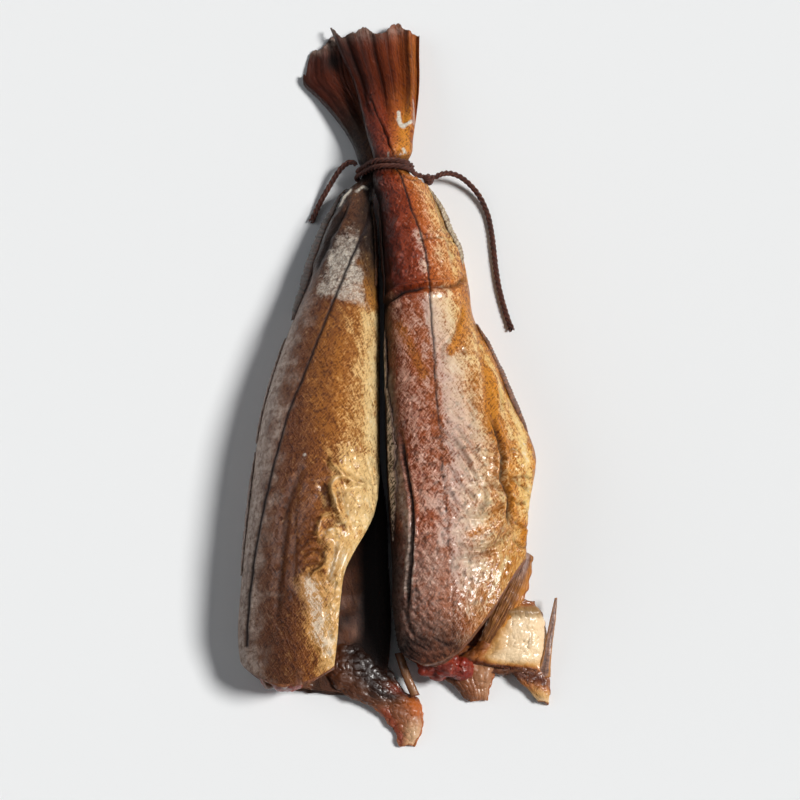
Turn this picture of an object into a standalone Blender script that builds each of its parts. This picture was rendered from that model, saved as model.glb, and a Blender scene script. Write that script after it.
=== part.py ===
"""Two hot-smoked fish, headed and gutted, tied together by their tails with string.

Both fish lie on their right flanks with the backs to -X, the bellies to +X, the tails
to +Y and the cut napes to -Y. Each fish is one solid: the flesh with its open belly
cavity, the tail fan, the fins, the collar behind the gills and the scraps at the cut.
The string is wound round the two tail roots, knotted at one side, and has two loose ends.

Tables give millimetres. Places along a fish are distances from the tie, growing towards
the nape, so the tail fan has negative ones. Sideways places are measured from the tie.
"""
import math

import bmesh
import bpy
import numpy as np

MM = 0.001
TIE_X = 0.6                  # the tie, from the middle of the pair's footprint
TIE_Y = 97.5
GAP = 0.35                   # clear distance between pieces that touch

STRING = 2.6                 # diameter of the twisted string
TURNS = 1.5                  # turns round the tail roots
WRAP_AT = 4.5                # the groove that the string has cut, from the tie's mark
WRAP_WIDTH = 4.4             # along the fish, first turn to last
BITE = 0.3                   # room for the flats of the tube where it bends
KNOT = (13.2, 7.4, 12.6)
KNOT_LEAD = (10.3, 7.2, 15.2)    # where the last turn meets the knot

FAN_ROOT = -10.0             # where the flesh ends and the tail's rays begin
RING = 36                    # facets round a fish
CAVITY_FACETS = 10           # facets round the inside of the belly
TIE_ROWS = (-10.0, -3.0, 1.0, 4.5, 8.0, 12.5)
BODY_ROWS = 28
FAN_ROWS = 7
FAN_FOLDS = 9                # folds round the whole section of a tail fan
WIDEST = 0.42                # height of the widest line, as a share of the thickness
PRESSED = 1.12               # how far a round underside would sink into the floor
BELLY_ROUND, BACK_ROUND, UNDER_ROUND, FAN_ROUND = 1.9, 2.3, 2.5, 4.0   # roundness of the sides
FAN_FADE = 22.0              # over what length the body's section becomes the fan's
FAN_WAVE = 1.15              # height of the fan's folds
CAVITY_BULGE = 13.0
LOWER_WALL, UPPER_WALL = 3.4, 4.6    # thickness of the belly's flaps
OPENING_RUN = 26.0           # over what length the belly opens to its full depth
FIN = 1.4                    # thickness of a dried fin

# distance from the tie, back, ridge, belly, under, top
RIGHT_FORM = (
    (-73.0, -33.5, -12.0, 9.2, 4.9, 6.9),
    (-58.0, -28.0, -10.0, 9.0, 5.4, 8.0),
    (-42.0, -22.0, -7.0, 9.0, 7.2, 10.8),
    (-25.0, -18.0, -5.0, 7.8, 10.2, 16.0),
    (-10.0, -14.6, -4.0, 6.0, 12.6, 21.4),
    (-3.0, -12.8, -4.0, 5.4, 14.0, 23.8),
    (1.0, -11.9, -3.8, 3.6, 14.4, 23.4),
    (4.5, -11.7, -3.2, 3.4, 14.2, 23.4),
    (8.0, -11.8, -2.2, 4.6, 12.6, 24.2),
    (12.5, -12.0, -0.6, 11.4, 9.2, 27.6),
    (20.0, -9.8, 3.0, 17.2, 4.6, 29.0),
    (33.0, -9.0, 6.0, 22.8, 0.8, 30.5),
    (45.0, -8.6, 8.5, 28.2, 0.0, 32.0),
    (62.0, -7.2, 10.5, 31.6, 0.0, 33.0),
    (75.0, -7.2, 12.0, 33.2, 0.0, 34.4),
    (92.0, -7.2, 13.5, 41.0, 0.0, 36.4),
    (116.0, -6.8, 15.0, 50.8, 0.0, 38.4),
    (143.0, -6.2, 17.0, 61.0, 0.0, 39.6),
    (165.0, -5.2, 18.0, 58.6, 0.0, 39.8),
    (190.0, -3.6, 19.0, 57.6, 0.0, 38.8),
    (214.0, -2.6, 19.5, 57.6, 0.0, 35.6),
    (236.0, 1.0, 20.0, 57.0, 0.0, 28.0),
)
LEFT_FORM = (
    (-74.0, -46.0, -25.0, -9.0, 0.3, 2.3),
    (-58.0, -46.4, -24.0, -6.0, 0.4, 2.7),
    (-45.0, -46.0, -21.0, -4.0, 0.6, 3.4),
    (-36.0, -38.0, -18.0, -3.0, 1.0, 4.6),
    (-25.0, -29.6, -15.5, -2.6, 1.8, 7.2),
    (-10.0, -21.6, -12.5, -4.0, 3.2, 11.6),
    (-3.0, -19.4, -11.8, -4.6, 3.5, 12.6),
    (1.0, -17.6, -11.8, -5.6, 3.8, 12.6),
    (4.5, -17.4, -12.2, -6.8, 3.8, 12.6),
    (8.0, -18.8, -13.4, -8.8, 3.5, 13.4),
    (12.5, -24.8, -16.8, -11.6, 2.6, 16.2),
    (20.0, -28.6, -20.0, -12.2, 1.4, 19.0),
    (33.0, -34.0, -20.5, -11.0, 0.0, 22.5),
    (45.0, -38.2, -21.5, -10.2, 0.0, 25.2),
    (62.0, -43.0, -23.6, -9.6, 0.0, 28.4),
    (80.0, -49.6, -25.5, -9.0, 0.0, 31.2),
    (104.0, -57.2, -28.0, -9.0, 0.0, 34.2),
    (127.0, -62.6, -30.0, -9.0, 0.0, 36.6),
    (150.0, -65.6, -31.5, -8.8, 0.0, 38.0),
    (175.0, -68.0, -33.0, -8.0, 0.0, 38.0),
    (200.0, -70.0, -34.5, -7.0, 0.0, 36.6),
    (224.0, -71.0, -36.0, -8.6, 0.0, 33.0),
    (245.0, -68.0, -38.0, -13.0, 0.0, 26.0),
)
# across the fan from the back (-1) to the belly (1), how far its tips reach from the tie
RIGHT_TIPS = ((-1.0, -70.0), (-0.72, -67.2), (-0.4, -70.8), (-0.1, -67.8),
              (0.2, -68.2), (0.52, -73.0), (0.8, -69.0), (1.0, -66.0))
LEFT_TIPS = ((-1.0, -45.0), (-0.85, -53.0), (-0.66, -62.0), (-0.48, -65.0),
             (-0.3, -70.5), (0.0, -66.0), (0.4, -71.0), (1.0, -66.0))
# round the girth, 0 at the upper flap, 1 at the back, 2 at the lower flap: where the cut is
RIGHT_CUT = ((0.0, 183.0), (0.2, 196.0), (0.34, 216.0), (0.46, 231.0), (0.6, 236.0),
             (0.8, 233.0), (1.0, 226.0), (1.25, 231.0), (1.6, 236.0), (2.0, 234.0))
LEFT_CUT = ((0.0, 222.0), (0.3, 232.0), (0.5, 243.0), (0.65, 245.0),
            (0.8, 241.0), (1.0, 233.0), (1.25, 240.0), (1.6, 245.0), (2.0, 243.0))
# from the tie, how far round from the widest line each flap's cut edge has drawn back
RIGHT_UPPER_FLAP = ((132.0, 0.0), (146.0, 0.2), (165.0, 0.3), (236.0, 0.34))
RIGHT_LOWER_FLAP = ((132.0, 0.0), (146.0, 0.22), (165.0, 0.36), (236.0, 0.42))
LEFT_UPPER_FLAP = ((134.0, 0.0), (146.0, 0.12), (158.0, 0.3), (168.0, 0.52), (176.0, 0.76),
                   (183.0, 1.0), (189.0, 1.16), (200.0, 1.23), (215.0, 1.23), (245.0, 1.2))
LEFT_LOWER_FLAP = ((134.0, 0.0), (146.0, 0.2), (165.0, 0.34), (245.0, 0.44))


class Fish:
    """The tables that shape one fish."""

    def __init__(self, form, tips, cut, upper_flap, lower_flap, depth):
        self.form = np.array(form)
        self.tips = np.array(tips)
        self.cut = np.array(cut)
        self.upper_flap = np.array(upper_flap)
        self.lower_flap = np.array(lower_flap)
        self.vent = upper_flap[0][0]
        self.nape = form[-1][0]
        self.depth = depth


def curve(table, at, column=1):
    """A column of a table at any place, on a smooth curve through its rows."""
    keys, values = table[:, 0], table[:, column]
    slopes = np.gradient(values, keys)
    i = np.clip(np.searchsorted(keys, at) - 1, 0, len(keys) - 2)
    step = keys[i + 1] - keys[i]
    t = np.clip((at - keys[i]) / step, 0.0, 1.0)
    start = values[i] * (1 + 2 * t) + slopes[i] * step * t
    end = values[i + 1] * (3 - 2 * t) - slopes[i + 1] * step * (1 - t)
    return start * (1 - t) ** 2 + end * t ** 2


def ramp(value, start, end):
    """From 0 at start to 1 at end, with soft ends."""
    t = np.clip((value - start) / (end - start), 0.0, 1.0)
    return t * t * (3 - 2 * t)


def skin(fish, along, angle):
    """Points of a fish's skin: angle runs from the belly over the top to the back and under."""
    back, ridge, belly, under, top = (curve(fish.form, along, c) for c in range(1, 6))
    fin = ramp(along, FAN_ROOT, FAN_ROOT - FAN_FADE)
    across = np.cos(angle)
    above = np.sin(angle) >= 0
    side = np.where(across > 0, BELLY_ROUND, BACK_ROUND)
    power = np.where(above, side, UNDER_ROUND) * (1 - fin) + FAN_ROUND * fin
    lift = (1 - np.minimum(np.abs(across), 1.0) ** power) ** (1 / power)
    x = ridge + across * np.where(across > 0, belly - ridge, ridge - back)
    middle = under + WIDEST * (top - under)
    upper = middle + (top - middle) * lift
    lower = np.maximum(middle - (middle - under) * PRESSED * lift, under)
    folds = FAN_WAVE * fin * np.cos(FAN_FOLDS * angle)
    z = np.where(above, upper, lower) + folds
    return np.stack([x, along + 0 * x, np.maximum(z, 0.0)], axis=-1)


def cut_shift(fish, row, girth):
    """How far the slanting cut at the nape moves a point of a row along the fish."""
    share = np.clip((row - fish.vent) / (fish.nape - fish.vent), 0.0, 1.0) ** 1.4
    return row + share * (curve(fish.cut, girth) - fish.nape)


def outer_rows(fish):
    """Rings of the skin, from the tail's tips to the nape, each from flap edge to flap edge."""
    spread = np.linspace(0.0, 1.0, RING + 1)
    rings = []
    for reach in np.linspace(1.0, 0.0, FAN_ROWS, endpoint=False):
        angle = 2 * math.pi * spread
        along = FAN_ROOT + reach * (curve(fish.tips, np.cos(angle)) - FAN_ROOT)
        rings.append(skin(fish, along, angle))
    for row in body_rows(fish):
        upper = curve(fish.upper_flap, cut_shift(fish, row, 0.0))
        lower = curve(fish.lower_flap, cut_shift(fish, row, 2.0))
        angle = upper + spread * (2 * math.pi - upper - lower)
        rings.append(skin(fish, cut_shift(fish, row, angle / math.pi), angle))
    return rings


def body_rows(fish):
    """Places of the body's rings: close at the tie, then even, with one at the vent."""
    behind = round(BODY_ROWS * (fish.vent - TIE_ROWS[-1]) / (fish.nape - TIE_ROWS[-1]))
    return np.concatenate([TIE_ROWS,
                           np.linspace(TIE_ROWS[-1], fish.vent, behind + 1)[1:],
                           np.linspace(fish.vent, fish.nape, BODY_ROWS - behind + 1)[1:]])


def cavity_row(fish, row, ring):
    """The inside of the belly in one ring, from the lower flap's edge to the upper's."""
    low, high = ring[-1], ring[0]
    if row <= fish.vent:
        return np.repeat(ring[:1], CAVITY_FACETS + 1, axis=0)
    opened = ramp(row, fish.vent, fish.vent + OPENING_RUN)
    wall = np.array([LOWER_WALL, UPPER_WALL]) * opened
    t = np.linspace(0.0, 1.0, CAVITY_FACETS + 1)
    x = low[0] + t * (high[0] - low[0]) - fish.depth * opened * np.sin(math.pi * t) ** 0.8
    z = low[2] + wall[0] + t * (high[2] - wall[1] - low[2] - wall[0])
    z = z - 0.5 * CAVITY_BULGE * opened * np.sin(2 * math.pi * t)
    ridge, belly = curve(fish.form, row, 2), curve(fish.form, row, 3)
    turn = np.arccos(np.clip((x - ridge) / (belly - ridge), -1.0, 1.0)) / math.pi
    along = cut_shift(fish, row, np.where(t < 0.5, 2 - turn, turn))
    along[0], along[-1] = low[1], high[1]
    return np.stack([x, along, z], axis=-1)


def place(points):
    """From millimetres at the tie to metres at the middle of the pair."""
    points = np.asarray(points, dtype=float)
    flip = np.array([1.0, -1.0, 1.0])
    return (points * flip + np.array([TIE_X, TIE_Y, 0.0])) * MM


def material(name, colour, roughness):
    finish = bpy.data.materials.new(name)
    finish.use_nodes = True
    shader = finish.node_tree.nodes["Principled BSDF"]
    shader.inputs["Base Color"].default_value = (*colour, 1.0)
    shader.inputs["Roughness"].default_value = roughness
    shader.inputs["Metallic"].default_value = 0.0
    return finish


def add_mesh(name, points, faces, finish, parent, cutter=False):
    """An object from points and faces; points at the same place become one vertex."""
    seen, places, numbers = {}, [], []
    for point in place(points):
        key = tuple(round(float(value), 6) for value in point)
        if key not in seen:
            seen[key] = len(places)
            places.append(key)
        numbers.append(seen[key])
    kept = []
    for face in faces:
        corners = list(dict.fromkeys(numbers[index] for index in face))
        if len(corners) > 2:
            kept.append(corners)
    mesh = bpy.data.meshes.new(name)
    mesh.from_pydata(places, [], kept)
    facing = bmesh.new()
    facing.from_mesh(mesh)
    bmesh.ops.recalc_face_normals(facing, faces=facing.faces)
    facing.to_mesh(mesh)
    facing.free()
    mesh.materials.append(finish)
    mesh.shade_smooth()
    piece = bpy.data.objects.new(name, mesh)
    piece.parent = parent
    bpy.context.collection.objects.link(piece)
    if cutter:
        piece.hide_render = True
        piece.display_type = "WIRE"
    return piece


def zipper(first, second):
    """Triangles between two strings of vertex numbers of unlike length."""
    faces, i, j = [], 0, 0
    while i < len(first) - 1 or j < len(second) - 1:
        if (i + 1) * (len(second) - 1) <= (j + 1) * (len(first) - 1):
            faces.append((first[i], second[j], first[i + 1]))
            i += 1
        else:
            faces.append((first[i], second[j], second[j + 1]))
            j += 1
    return faces


def build_flesh(name, fish, finish, parent):
    """The body, its cavity and its tail fan as one closed skin."""
    rings = []
    seam_rows = [FAN_ROOT] * FAN_ROWS + list(body_rows(fish))
    for row, ring in zip(seam_rows, outer_rows(fish)):
        rings.append(np.concatenate([ring, cavity_row(fish, row, ring)]))
    count = len(rings[0])
    faces = []
    for r in range(len(rings) - 1):
        for k in range(count):
            a, b = r * count + k, r * count + (k + 1) % count
            faces.append((a, a + count, b + count, b))
    for k in range(RING // 2):
        faces.append((k, k + 1, RING - k - 1, RING - k))
    last = (len(rings) - 1) * count
    outer = [last + k for k in range(RING + 1)]
    inner = [last + k for k in range(count - 1, RING, -1)]
    faces += zipper(outer, inner)
    return add_mesh(name, np.concatenate(rings), faces, finish, parent)


def plate(name, rows, thickness, finish, parent):
    """A closed sheet of one thickness through a grid of points."""
    grid = np.array(rows, dtype=float)
    down = np.gradient(grid, axis=0)
    over = np.gradient(grid, axis=1)
    normal = np.cross(over, down)
    normal /= np.linalg.norm(normal, axis=-1, keepdims=True)
    high, wide = grid.shape[:2]
    faces_up = (grid + normal * thickness / 2).reshape(-1, 3)
    faces_down = (grid - normal * thickness / 2).reshape(-1, 3)
    number = np.arange(high * wide).reshape(high, wide)
    rim = [*number[0, :-1], *number[:-1, -1], *number[-1, :0:-1], *number[:0:-1, 0]]
    under = high * wide
    faces = []
    for r in range(high - 1):
        for k in range(wide - 1):
            quad = (number[r, k], number[r, k + 1], number[r + 1, k + 1], number[r + 1, k])
            faces.append(quad)
            faces.append(tuple(corner + under for corner in reversed(quad)))
    for a, b in zip(rim, rim[1:] + rim[:1]):
        faces.append((b, a, a + under, b + under))
    return add_mesh(name, np.concatenate([faces_up, faces_down]), faces, finish, parent, True)


def lump(name, centre, size, finish, parent, cutter=True):
    """An uneven rounded lump: a scrap of flesh, or the knot."""
    rounds, steps = 7, 10
    points = [(0.0, 0.0, 1.0)]
    for i in range(1, rounds):
        lean = math.pi * i / rounds
        for k in range(steps):
            turn = 2 * math.pi * k / steps
            uneven = 1 + 0.16 * math.sin(2.3 * turn + 3.1 * lean)
            points.append((uneven * math.sin(lean) * math.cos(turn),
                           uneven * math.sin(lean) * math.sin(turn), math.cos(lean)))
    points.append((0.0, 0.0, -1.0))
    faces = []
    for k in range(steps):
        after = (k + 1) % steps
        faces.append((0, 1 + k, 1 + after))
        for i in range(rounds - 2):
            a, b = 1 + i * steps + k, 1 + i * steps + after
            faces.append((a, a + steps, b + steps, b))
        a, b = 1 + (rounds - 2) * steps + k, 1 + (rounds - 2) * steps + after
        faces.append((a, len(points) - 1, b))
    return add_mesh(name, np.array(points) * size + np.array(centre), faces, finish, parent,
                    cutter)


def join(body, pieces):
    """Make the pieces one solid with the body."""
    for piece in pieces:
        union = body.modifiers.new("join " + piece.name, "BOOLEAN")
        union.operation = "UNION"
        union.object = piece


def folded_fin(name, fish, start, end, root, free, height, finish, parent):
    """A fin that has dried onto the skin: it rises from its root angle to its free edge."""
    rows = []
    for along in np.linspace(start, end, 8):
        swell = math.sin(math.pi * np.clip((along - start) / (end - start), 0.04, 0.96)) ** 0.6
        row = []
        for share in (0.0, 0.5, 1.0):
            angle = root + (free - root) * share * swell
            point, ahead = skin(fish, np.array([along, along]), np.array([angle, angle + 0.01]))
            slope = (ahead - point) / np.linalg.norm(ahead - point)
            outward = np.array([slope[2], 0.0, -slope[0]])
            row.append(point + outward * (height * share * swell - 0.3))
        rows.append(row)
    return plate(name, rows, FIN, finish, parent)


def ribbed_plate(name, ribs, thickness, finish, parent):
    """A shell through ribs, each given by its two ends and the height of its middle."""
    rows = []
    for left, right, rise in ribs:
        left, right = np.array(left), np.array(right)
        row = []
        for share in np.linspace(0.0, 1.0, 5):
            point = left + share * (right - left)
            point[2] += 4 * rise * share * (1 - share)
            row.append(point)
        rows.append(row)
    return plate(name, rows, thickness, finish, parent)


def build_right_fish(finish, parent):
    fish = Fish(RIGHT_FORM, RIGHT_TIPS, RIGHT_CUT, RIGHT_UPPER_FLAP, RIGHT_LOWER_FLAP, 36.0)
    body = build_flesh("fish_right", fish, finish, parent)
    fins = [
        folded_fin("right_dorsal_3", fish, 23.0, 70.0, 2.95, 2.62, 1.6, finish, parent),
        folded_fin("right_dorsal_2", fish, 84.0, 116.0, 2.86, 2.66, 1.0, finish, parent),
        folded_fin("right_dorsal_1", fish, 112.0, 182.0, 2.80, 2.36, 1.0, finish, parent),
        folded_fin("right_anal_2", fish, 16.0, 50.0, 0.55, 0.12, 2.2, finish, parent),
        folded_fin("right_anal_1", fish, 84.0, 131.0, 0.62, 0.16, 1.8, finish, parent),
    ]
    collar = ribbed_plate("right_collar", (
        ((44.0, 205.0, 11.0), (60.5, 205.0, 9.0), 1.5),
        ((40.0, 214.0, 10.0), (64.4, 213.0, 7.0), 3.0),
        ((34.0, 224.0, 9.0), (65.8, 224.0, 5.0), 4.0),
        ((27.0, 232.0, 8.0), (66.2, 233.0, 3.5), 3.5),
        ((48.0, 237.0, 6.0), (66.6, 241.0, 3.0), 1.5),
        ((61.0, 249.0, 2.6), (65.6, 250.0, 2.2), 0.2)), 2.6, finish, parent)
    far_flap = ribbed_plate("right_far_flap", (
        ((16.0, 226.0, 4.0), (44.0, 224.0, 4.0), 0.5),
        ((18.0, 236.0, 4.5), (42.0, 236.0, 4.5), 1.5),
        ((25.0, 243.0, 3.5), (39.5, 242.0, 3.5), 1.2),
        ((30.0, 249.0, 1.8), (38.0, 248.0, 1.8), 0.2)), 2.8, finish, parent)
    pectoral = ribbed_plate("right_pectoral", (
        ((35.5, 222.5, 11.5), (40.5, 225.0, 11.0), 0.5),
        ((41.0, 208.0, 13.0), (50.0, 213.0, 11.5), 1.2),
        ((47.5, 195.0, 15.5), (56.0, 199.0, 12.5), 1.2),
        ((54.5, 183.0, 16.5), (58.2, 186.0, 15.0), 0.5)), FIN, finish, parent)
    pelvic = ribbed_plate("right_pelvic", (
        ((62.5, 229.0, 5.5), (66.6, 229.0, 5.0), 0.2),
        ((65.2, 220.0, 7.0), (68.0, 219.0, 6.4), 0.2),
        ((68.4, 204.0, 8.6), (69.8, 204.0, 8.2), 0.0)), 1.8, finish, parent)
    scraps = [
        lump("right_flesh", (18.0, 234.0, 13.0), (8.0, 4.5, 7.0), finish, parent),
        lump("right_scrap", (27.0, 235.0, 8.0), (5.5, 5.0, 5.0), finish, parent),
        lump("right_spine", (11.0, 232.5, 15.0), (4.2, 4.5, 4.2), finish, parent),
    ]
    join(body, fins + [collar, far_flap, pectoral, pelvic] + scraps)


def build_left_fish(finish, parent):
    fish = Fish(LEFT_FORM, LEFT_TIPS, LEFT_CUT, LEFT_UPPER_FLAP, LEFT_LOWER_FLAP, 30.0)
    body = build_flesh("fish_left", fish, finish, parent)
    fins = [
        folded_fin("left_dorsal_3", fish, 14.0, 78.0, 2.8, 3.3, 5.0, finish, parent),
        folded_fin("left_dorsal_2", fish, 86.0, 136.0, 2.86, 3.0, 0.8, finish, parent),
        folded_fin("left_dorsal_1", fish, 140.0, 196.0, 2.82, 2.98, 0.8, finish, parent),
        folded_fin("left_anal_1", fish, 86.0, 132.0, 0.72, 0.36, 0.9, finish, parent),
    ]
    collar = ribbed_plate("left_collar", (
        ((-36.0, 226.0, 6.0), (-12.0, 222.0, 5.0), 2.0),
        ((-34.0, 236.0, 6.0), (-6.0, 232.0, 4.5), 3.0),
        ((-26.0, 245.0, 5.5), (2.0, 243.0, 3.5), 2.5),
        ((-12.0, 252.0, 3.5), (9.0, 249.0, 3.0), 1.5),
        ((-3.0, 262.0, 2.4), (10.6, 259.0, 2.4), 0.8),
        ((-0.5, 268.0, 1.7), (6.0, 268.0, 1.7), 0.1)), 2.6, finish, parent)
    bone = ribbed_plate("left_bone", (
        ((-2.0, 229.0, 5.0), (1.0, 229.0, 5.0), 0.2),
        ((1.0, 238.0, 5.6), (4.0, 237.5, 5.6), 0.3),
        ((5.0, 247.5, 4.2), (8.4, 246.5, 4.2), 0.2)), 2.6, finish, parent)
    pectoral = ribbed_plate("left_pectoral", (
        ((-37.0, 228.0, 30.0), (-32.0, 229.0, 26.5), 0.4),
        ((-36.0, 214.0, 34.4), (-27.0, 216.0, 29.0), 0.8),
        ((-33.0, 200.0, 36.4), (-26.0, 202.0, 31.0), 0.6),
        ((-30.0, 192.0, 36.0), (-28.0, 193.0, 33.5), 0.1)), FIN, finish, parent)
    scraps = [
        lump("left_flesh", (-50.0, 241.0, 13.0), (8.0, 5.0, 8.0), finish, parent),
        lump("left_spine", (-57.0, 240.5, 13.5), (4.2, 4.5, 4.2), finish, parent),
    ]
    join(body, fins + [collar, bone, pectoral] + scraps)


def resample(route, spacing):
    """Points at even distances along a route of close points."""
    route = np.array(route)
    travelled = np.concatenate([[0.0], np.cumsum(np.linalg.norm(np.diff(route, axis=0), axis=1))])
    stops = np.linspace(0.0, travelled[-1], max(2, round(travelled[-1] / spacing)) + 1)
    return np.stack([np.interp(stops, travelled, route[:, k]) for k in range(3)], axis=-1)


def through(points, spacing):
    """A smooth curve through a string end's own route points."""
    points = np.array(points)
    steps = np.linalg.norm(np.diff(points, axis=0), axis=1)
    keys = np.concatenate([[0.0], np.cumsum(steps)])
    table = np.column_stack([keys, points])
    fine = np.linspace(0.0, keys[-1], 40 * len(points))
    return resample(np.stack([curve(table, fine, k) for k in (1, 2, 3)], axis=-1), spacing)


def tube(name, points, finish, parent):
    """A length of string as a round tube with filled ends."""
    line = bpy.data.curves.new(name, "CURVE")
    line.dimensions = "3D"
    line.bevel_depth = STRING / 2 * MM
    line.bevel_resolution = 2
    line.use_fill_caps = True
    spline = line.splines.new("POLY")
    spline.points.add(len(points) - 1)
    for point, spot in zip(spline.points, place(points)):
        point.co = (*spot, 1.0)
    line.materials.append(finish)
    piece = bpy.data.objects.new(name, line)
    piece.parent = parent
    bpy.context.collection.objects.link(piece)


def wrap_route():
    """The string's turns: pulled tight round both tail roots, side by side."""
    roots = [Fish(form, tips, cut, upper, lower, 0.0) for form, tips, cut, upper, lower in (
        (RIGHT_FORM, RIGHT_TIPS, RIGHT_CUT, RIGHT_UPPER_FLAP, RIGHT_LOWER_FLAP),
        (LEFT_FORM, LEFT_TIPS, LEFT_CUT, LEFT_UPPER_FLAP, LEFT_LOWER_FLAP))]
    round_angles = np.linspace(0.0, 2 * math.pi, 72, endpoint=False)
    stand_off = STRING / 2 + GAP + BITE
    route = []
    steps = int(TURNS * 120)
    for step in range(steps + 1):
        turned = step / steps
        heading = math.pi - turned * TURNS * 2 * math.pi
        along = WRAP_AT + WRAP_WIDTH * (turned - 0.5)
        outward = np.array([math.cos(heading), 0.0, math.sin(heading)])
        skins = [skin(fish, np.full(72, along + reach), round_angles)
                 for fish in roots for reach in (-STRING / 2, 0.0, STRING / 2)]
        candidates = np.concatenate(skins)
        touched = candidates[np.argmax(candidates @ outward)]
        route.append((touched[0] + stand_off * outward[0], along,
                      max(touched[2] + stand_off * outward[2], stand_off)))
    route.append(KNOT_LEAD)
    return resample(route, 1.3 * STRING)


# The two loose ends: across, along, height, from where each leaves the tie.
RIGHT_END = ((16.0, 6.4, 11.8), (18.9, 4.4, 10.6), (22.8, 3.2, 8.8), (27.4, 3.9, 6.7),
             (32.6, 7.4, 4.5), (37.2, 13.0, 2.8), (40.3, 19.8, 1.7), (42.2, 28.4, 1.35),
             (43.3, 38.2, 1.35), (44.3, 48.0, 1.35), (45.8, 57.7, 1.35),
             (48.2, 67.4, 1.35), (51.3, 77.5, 1.35))
LEFT_END = ((-20.0, -0.9, 9.2), (-22.8, -2.4, 8.5), (-26.2, -1.0, 7.1), (-29.3, 2.4, 5.6),
            (-32.3, 7.0, 4.1), (-35.3, 12.0, 2.8), (-38.1, 17.2, 1.7),
            (-39.9, 21.5, 1.35), (-41.3, 24.8, 1.35))


def build_string(finish, parent):
    tube("string_wrap", wrap_route(), finish, parent)
    tube("string_end_right", through(RIGHT_END, 2 * STRING), finish, parent)
    tube("string_end_left", through(LEFT_END, 2 * STRING), finish, parent)
    lump("string_knot", KNOT, (2.4, 2.6, 2.8), finish, parent, cutter=False)


def main():
    for leftover in list(bpy.data.objects):
        bpy.data.objects.remove(leftover, do_unlink=True)
    pair = bpy.data.objects.new("pair", None)
    bpy.context.collection.objects.link(pair)
    smoked = material("smoked skin", (0.42, 0.19, 0.06), 0.35)
    darker = material("smoked skin, duller", (0.30, 0.14, 0.06), 0.4)
    twine = material("tarred twine", (0.075, 0.02, 0.012), 0.6)
    build_right_fish(smoked, pair)
    build_left_fish(darker, pair)
    build_string(twine, pair)


main()
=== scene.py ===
"""Two hot-smoked fish tied together by their tails: the finish of every surface.

Both fish lie on their right flanks with the backs to -X, the bellies to +X, the tails to +Y
and the cut napes to -Y. The model's frame gives the solids; here each fish gets its wrinkled
skin, dried fins, cut flesh and collar, and the string gets its strands. Places on the fish are
in millimetres: across from the tie, along from the tie (growing towards the nape), and up.
"""
import itertools
import math

import bpy
import numpy as np
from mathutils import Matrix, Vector


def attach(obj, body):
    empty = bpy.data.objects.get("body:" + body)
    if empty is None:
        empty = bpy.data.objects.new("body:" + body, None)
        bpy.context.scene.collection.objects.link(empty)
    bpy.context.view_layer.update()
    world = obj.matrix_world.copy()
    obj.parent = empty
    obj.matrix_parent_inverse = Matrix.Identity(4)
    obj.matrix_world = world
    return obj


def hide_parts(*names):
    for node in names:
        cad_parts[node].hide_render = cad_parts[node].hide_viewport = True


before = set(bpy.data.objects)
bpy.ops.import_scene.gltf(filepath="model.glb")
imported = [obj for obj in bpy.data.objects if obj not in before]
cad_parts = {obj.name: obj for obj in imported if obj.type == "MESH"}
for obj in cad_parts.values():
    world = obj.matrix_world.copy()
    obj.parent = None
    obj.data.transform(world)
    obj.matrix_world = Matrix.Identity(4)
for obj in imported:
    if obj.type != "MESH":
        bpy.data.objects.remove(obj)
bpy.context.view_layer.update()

MM = 0.001
TIE = np.array([0.6, 97.5, 0.0])     # the tie's mark in the model's frame
FULL_TURN = 2 * math.pi

# ---------------------------------------------------------------- the fish's own measures

FAN_ROOT = -10.0             # where the flesh ends and the tail's rays begin
WIDEST = 0.42                # height of the widest line, as a share of the thickness
PRESSED = 1.12               # how far a round underside would sink into the table
CAVITY_BULGE = 13.0
BELLY_ROUND, BACK_ROUND, UNDER_ROUND, FAN_ROUND = 1.9, 2.3, 2.5, 4.0
FAN_FADE = 22.0

# distance from the tie, back, ridge, belly, under, top
RIGHT_FORM = (
    (-73.0, -33.5, -12.0, 9.2, 4.9, 6.9),
    (-58.0, -28.0, -10.0, 9.0, 5.4, 8.0),
    (-42.0, -22.0, -7.0, 9.0, 7.2, 10.8),
    (-25.0, -18.0, -5.0, 7.8, 10.2, 16.0),
    (-10.0, -14.6, -4.0, 6.0, 12.6, 21.4),
    (-3.0, -12.8, -4.0, 5.4, 14.0, 23.8),
    (1.0, -11.9, -3.8, 3.6, 14.4, 23.4),
    (4.5, -11.7, -3.2, 3.4, 14.2, 23.4),
    (8.0, -11.8, -2.2, 4.6, 12.6, 24.2),
    (12.5, -12.0, -0.6, 11.4, 9.2, 27.6),
    (20.0, -9.8, 3.0, 17.2, 4.6, 29.0),
    (33.0, -9.0, 6.0, 22.8, 0.8, 30.5),
    (45.0, -8.6, 8.5, 28.2, 0.0, 32.0),
    (62.0, -7.2, 10.5, 31.6, 0.0, 33.0),
    (75.0, -7.2, 12.0, 33.2, 0.0, 34.4),
    (92.0, -7.2, 13.5, 41.0, 0.0, 36.4),
    (116.0, -6.8, 15.0, 50.8, 0.0, 38.4),
    (143.0, -6.2, 17.0, 61.0, 0.0, 39.6),
    (165.0, -5.2, 18.0, 58.6, 0.0, 39.8),
    (190.0, -3.6, 19.0, 57.6, 0.0, 38.8),
    (214.0, -2.6, 19.5, 57.6, 0.0, 35.6),
    (236.0, 1.0, 20.0, 57.0, 0.0, 28.0),
)
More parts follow.
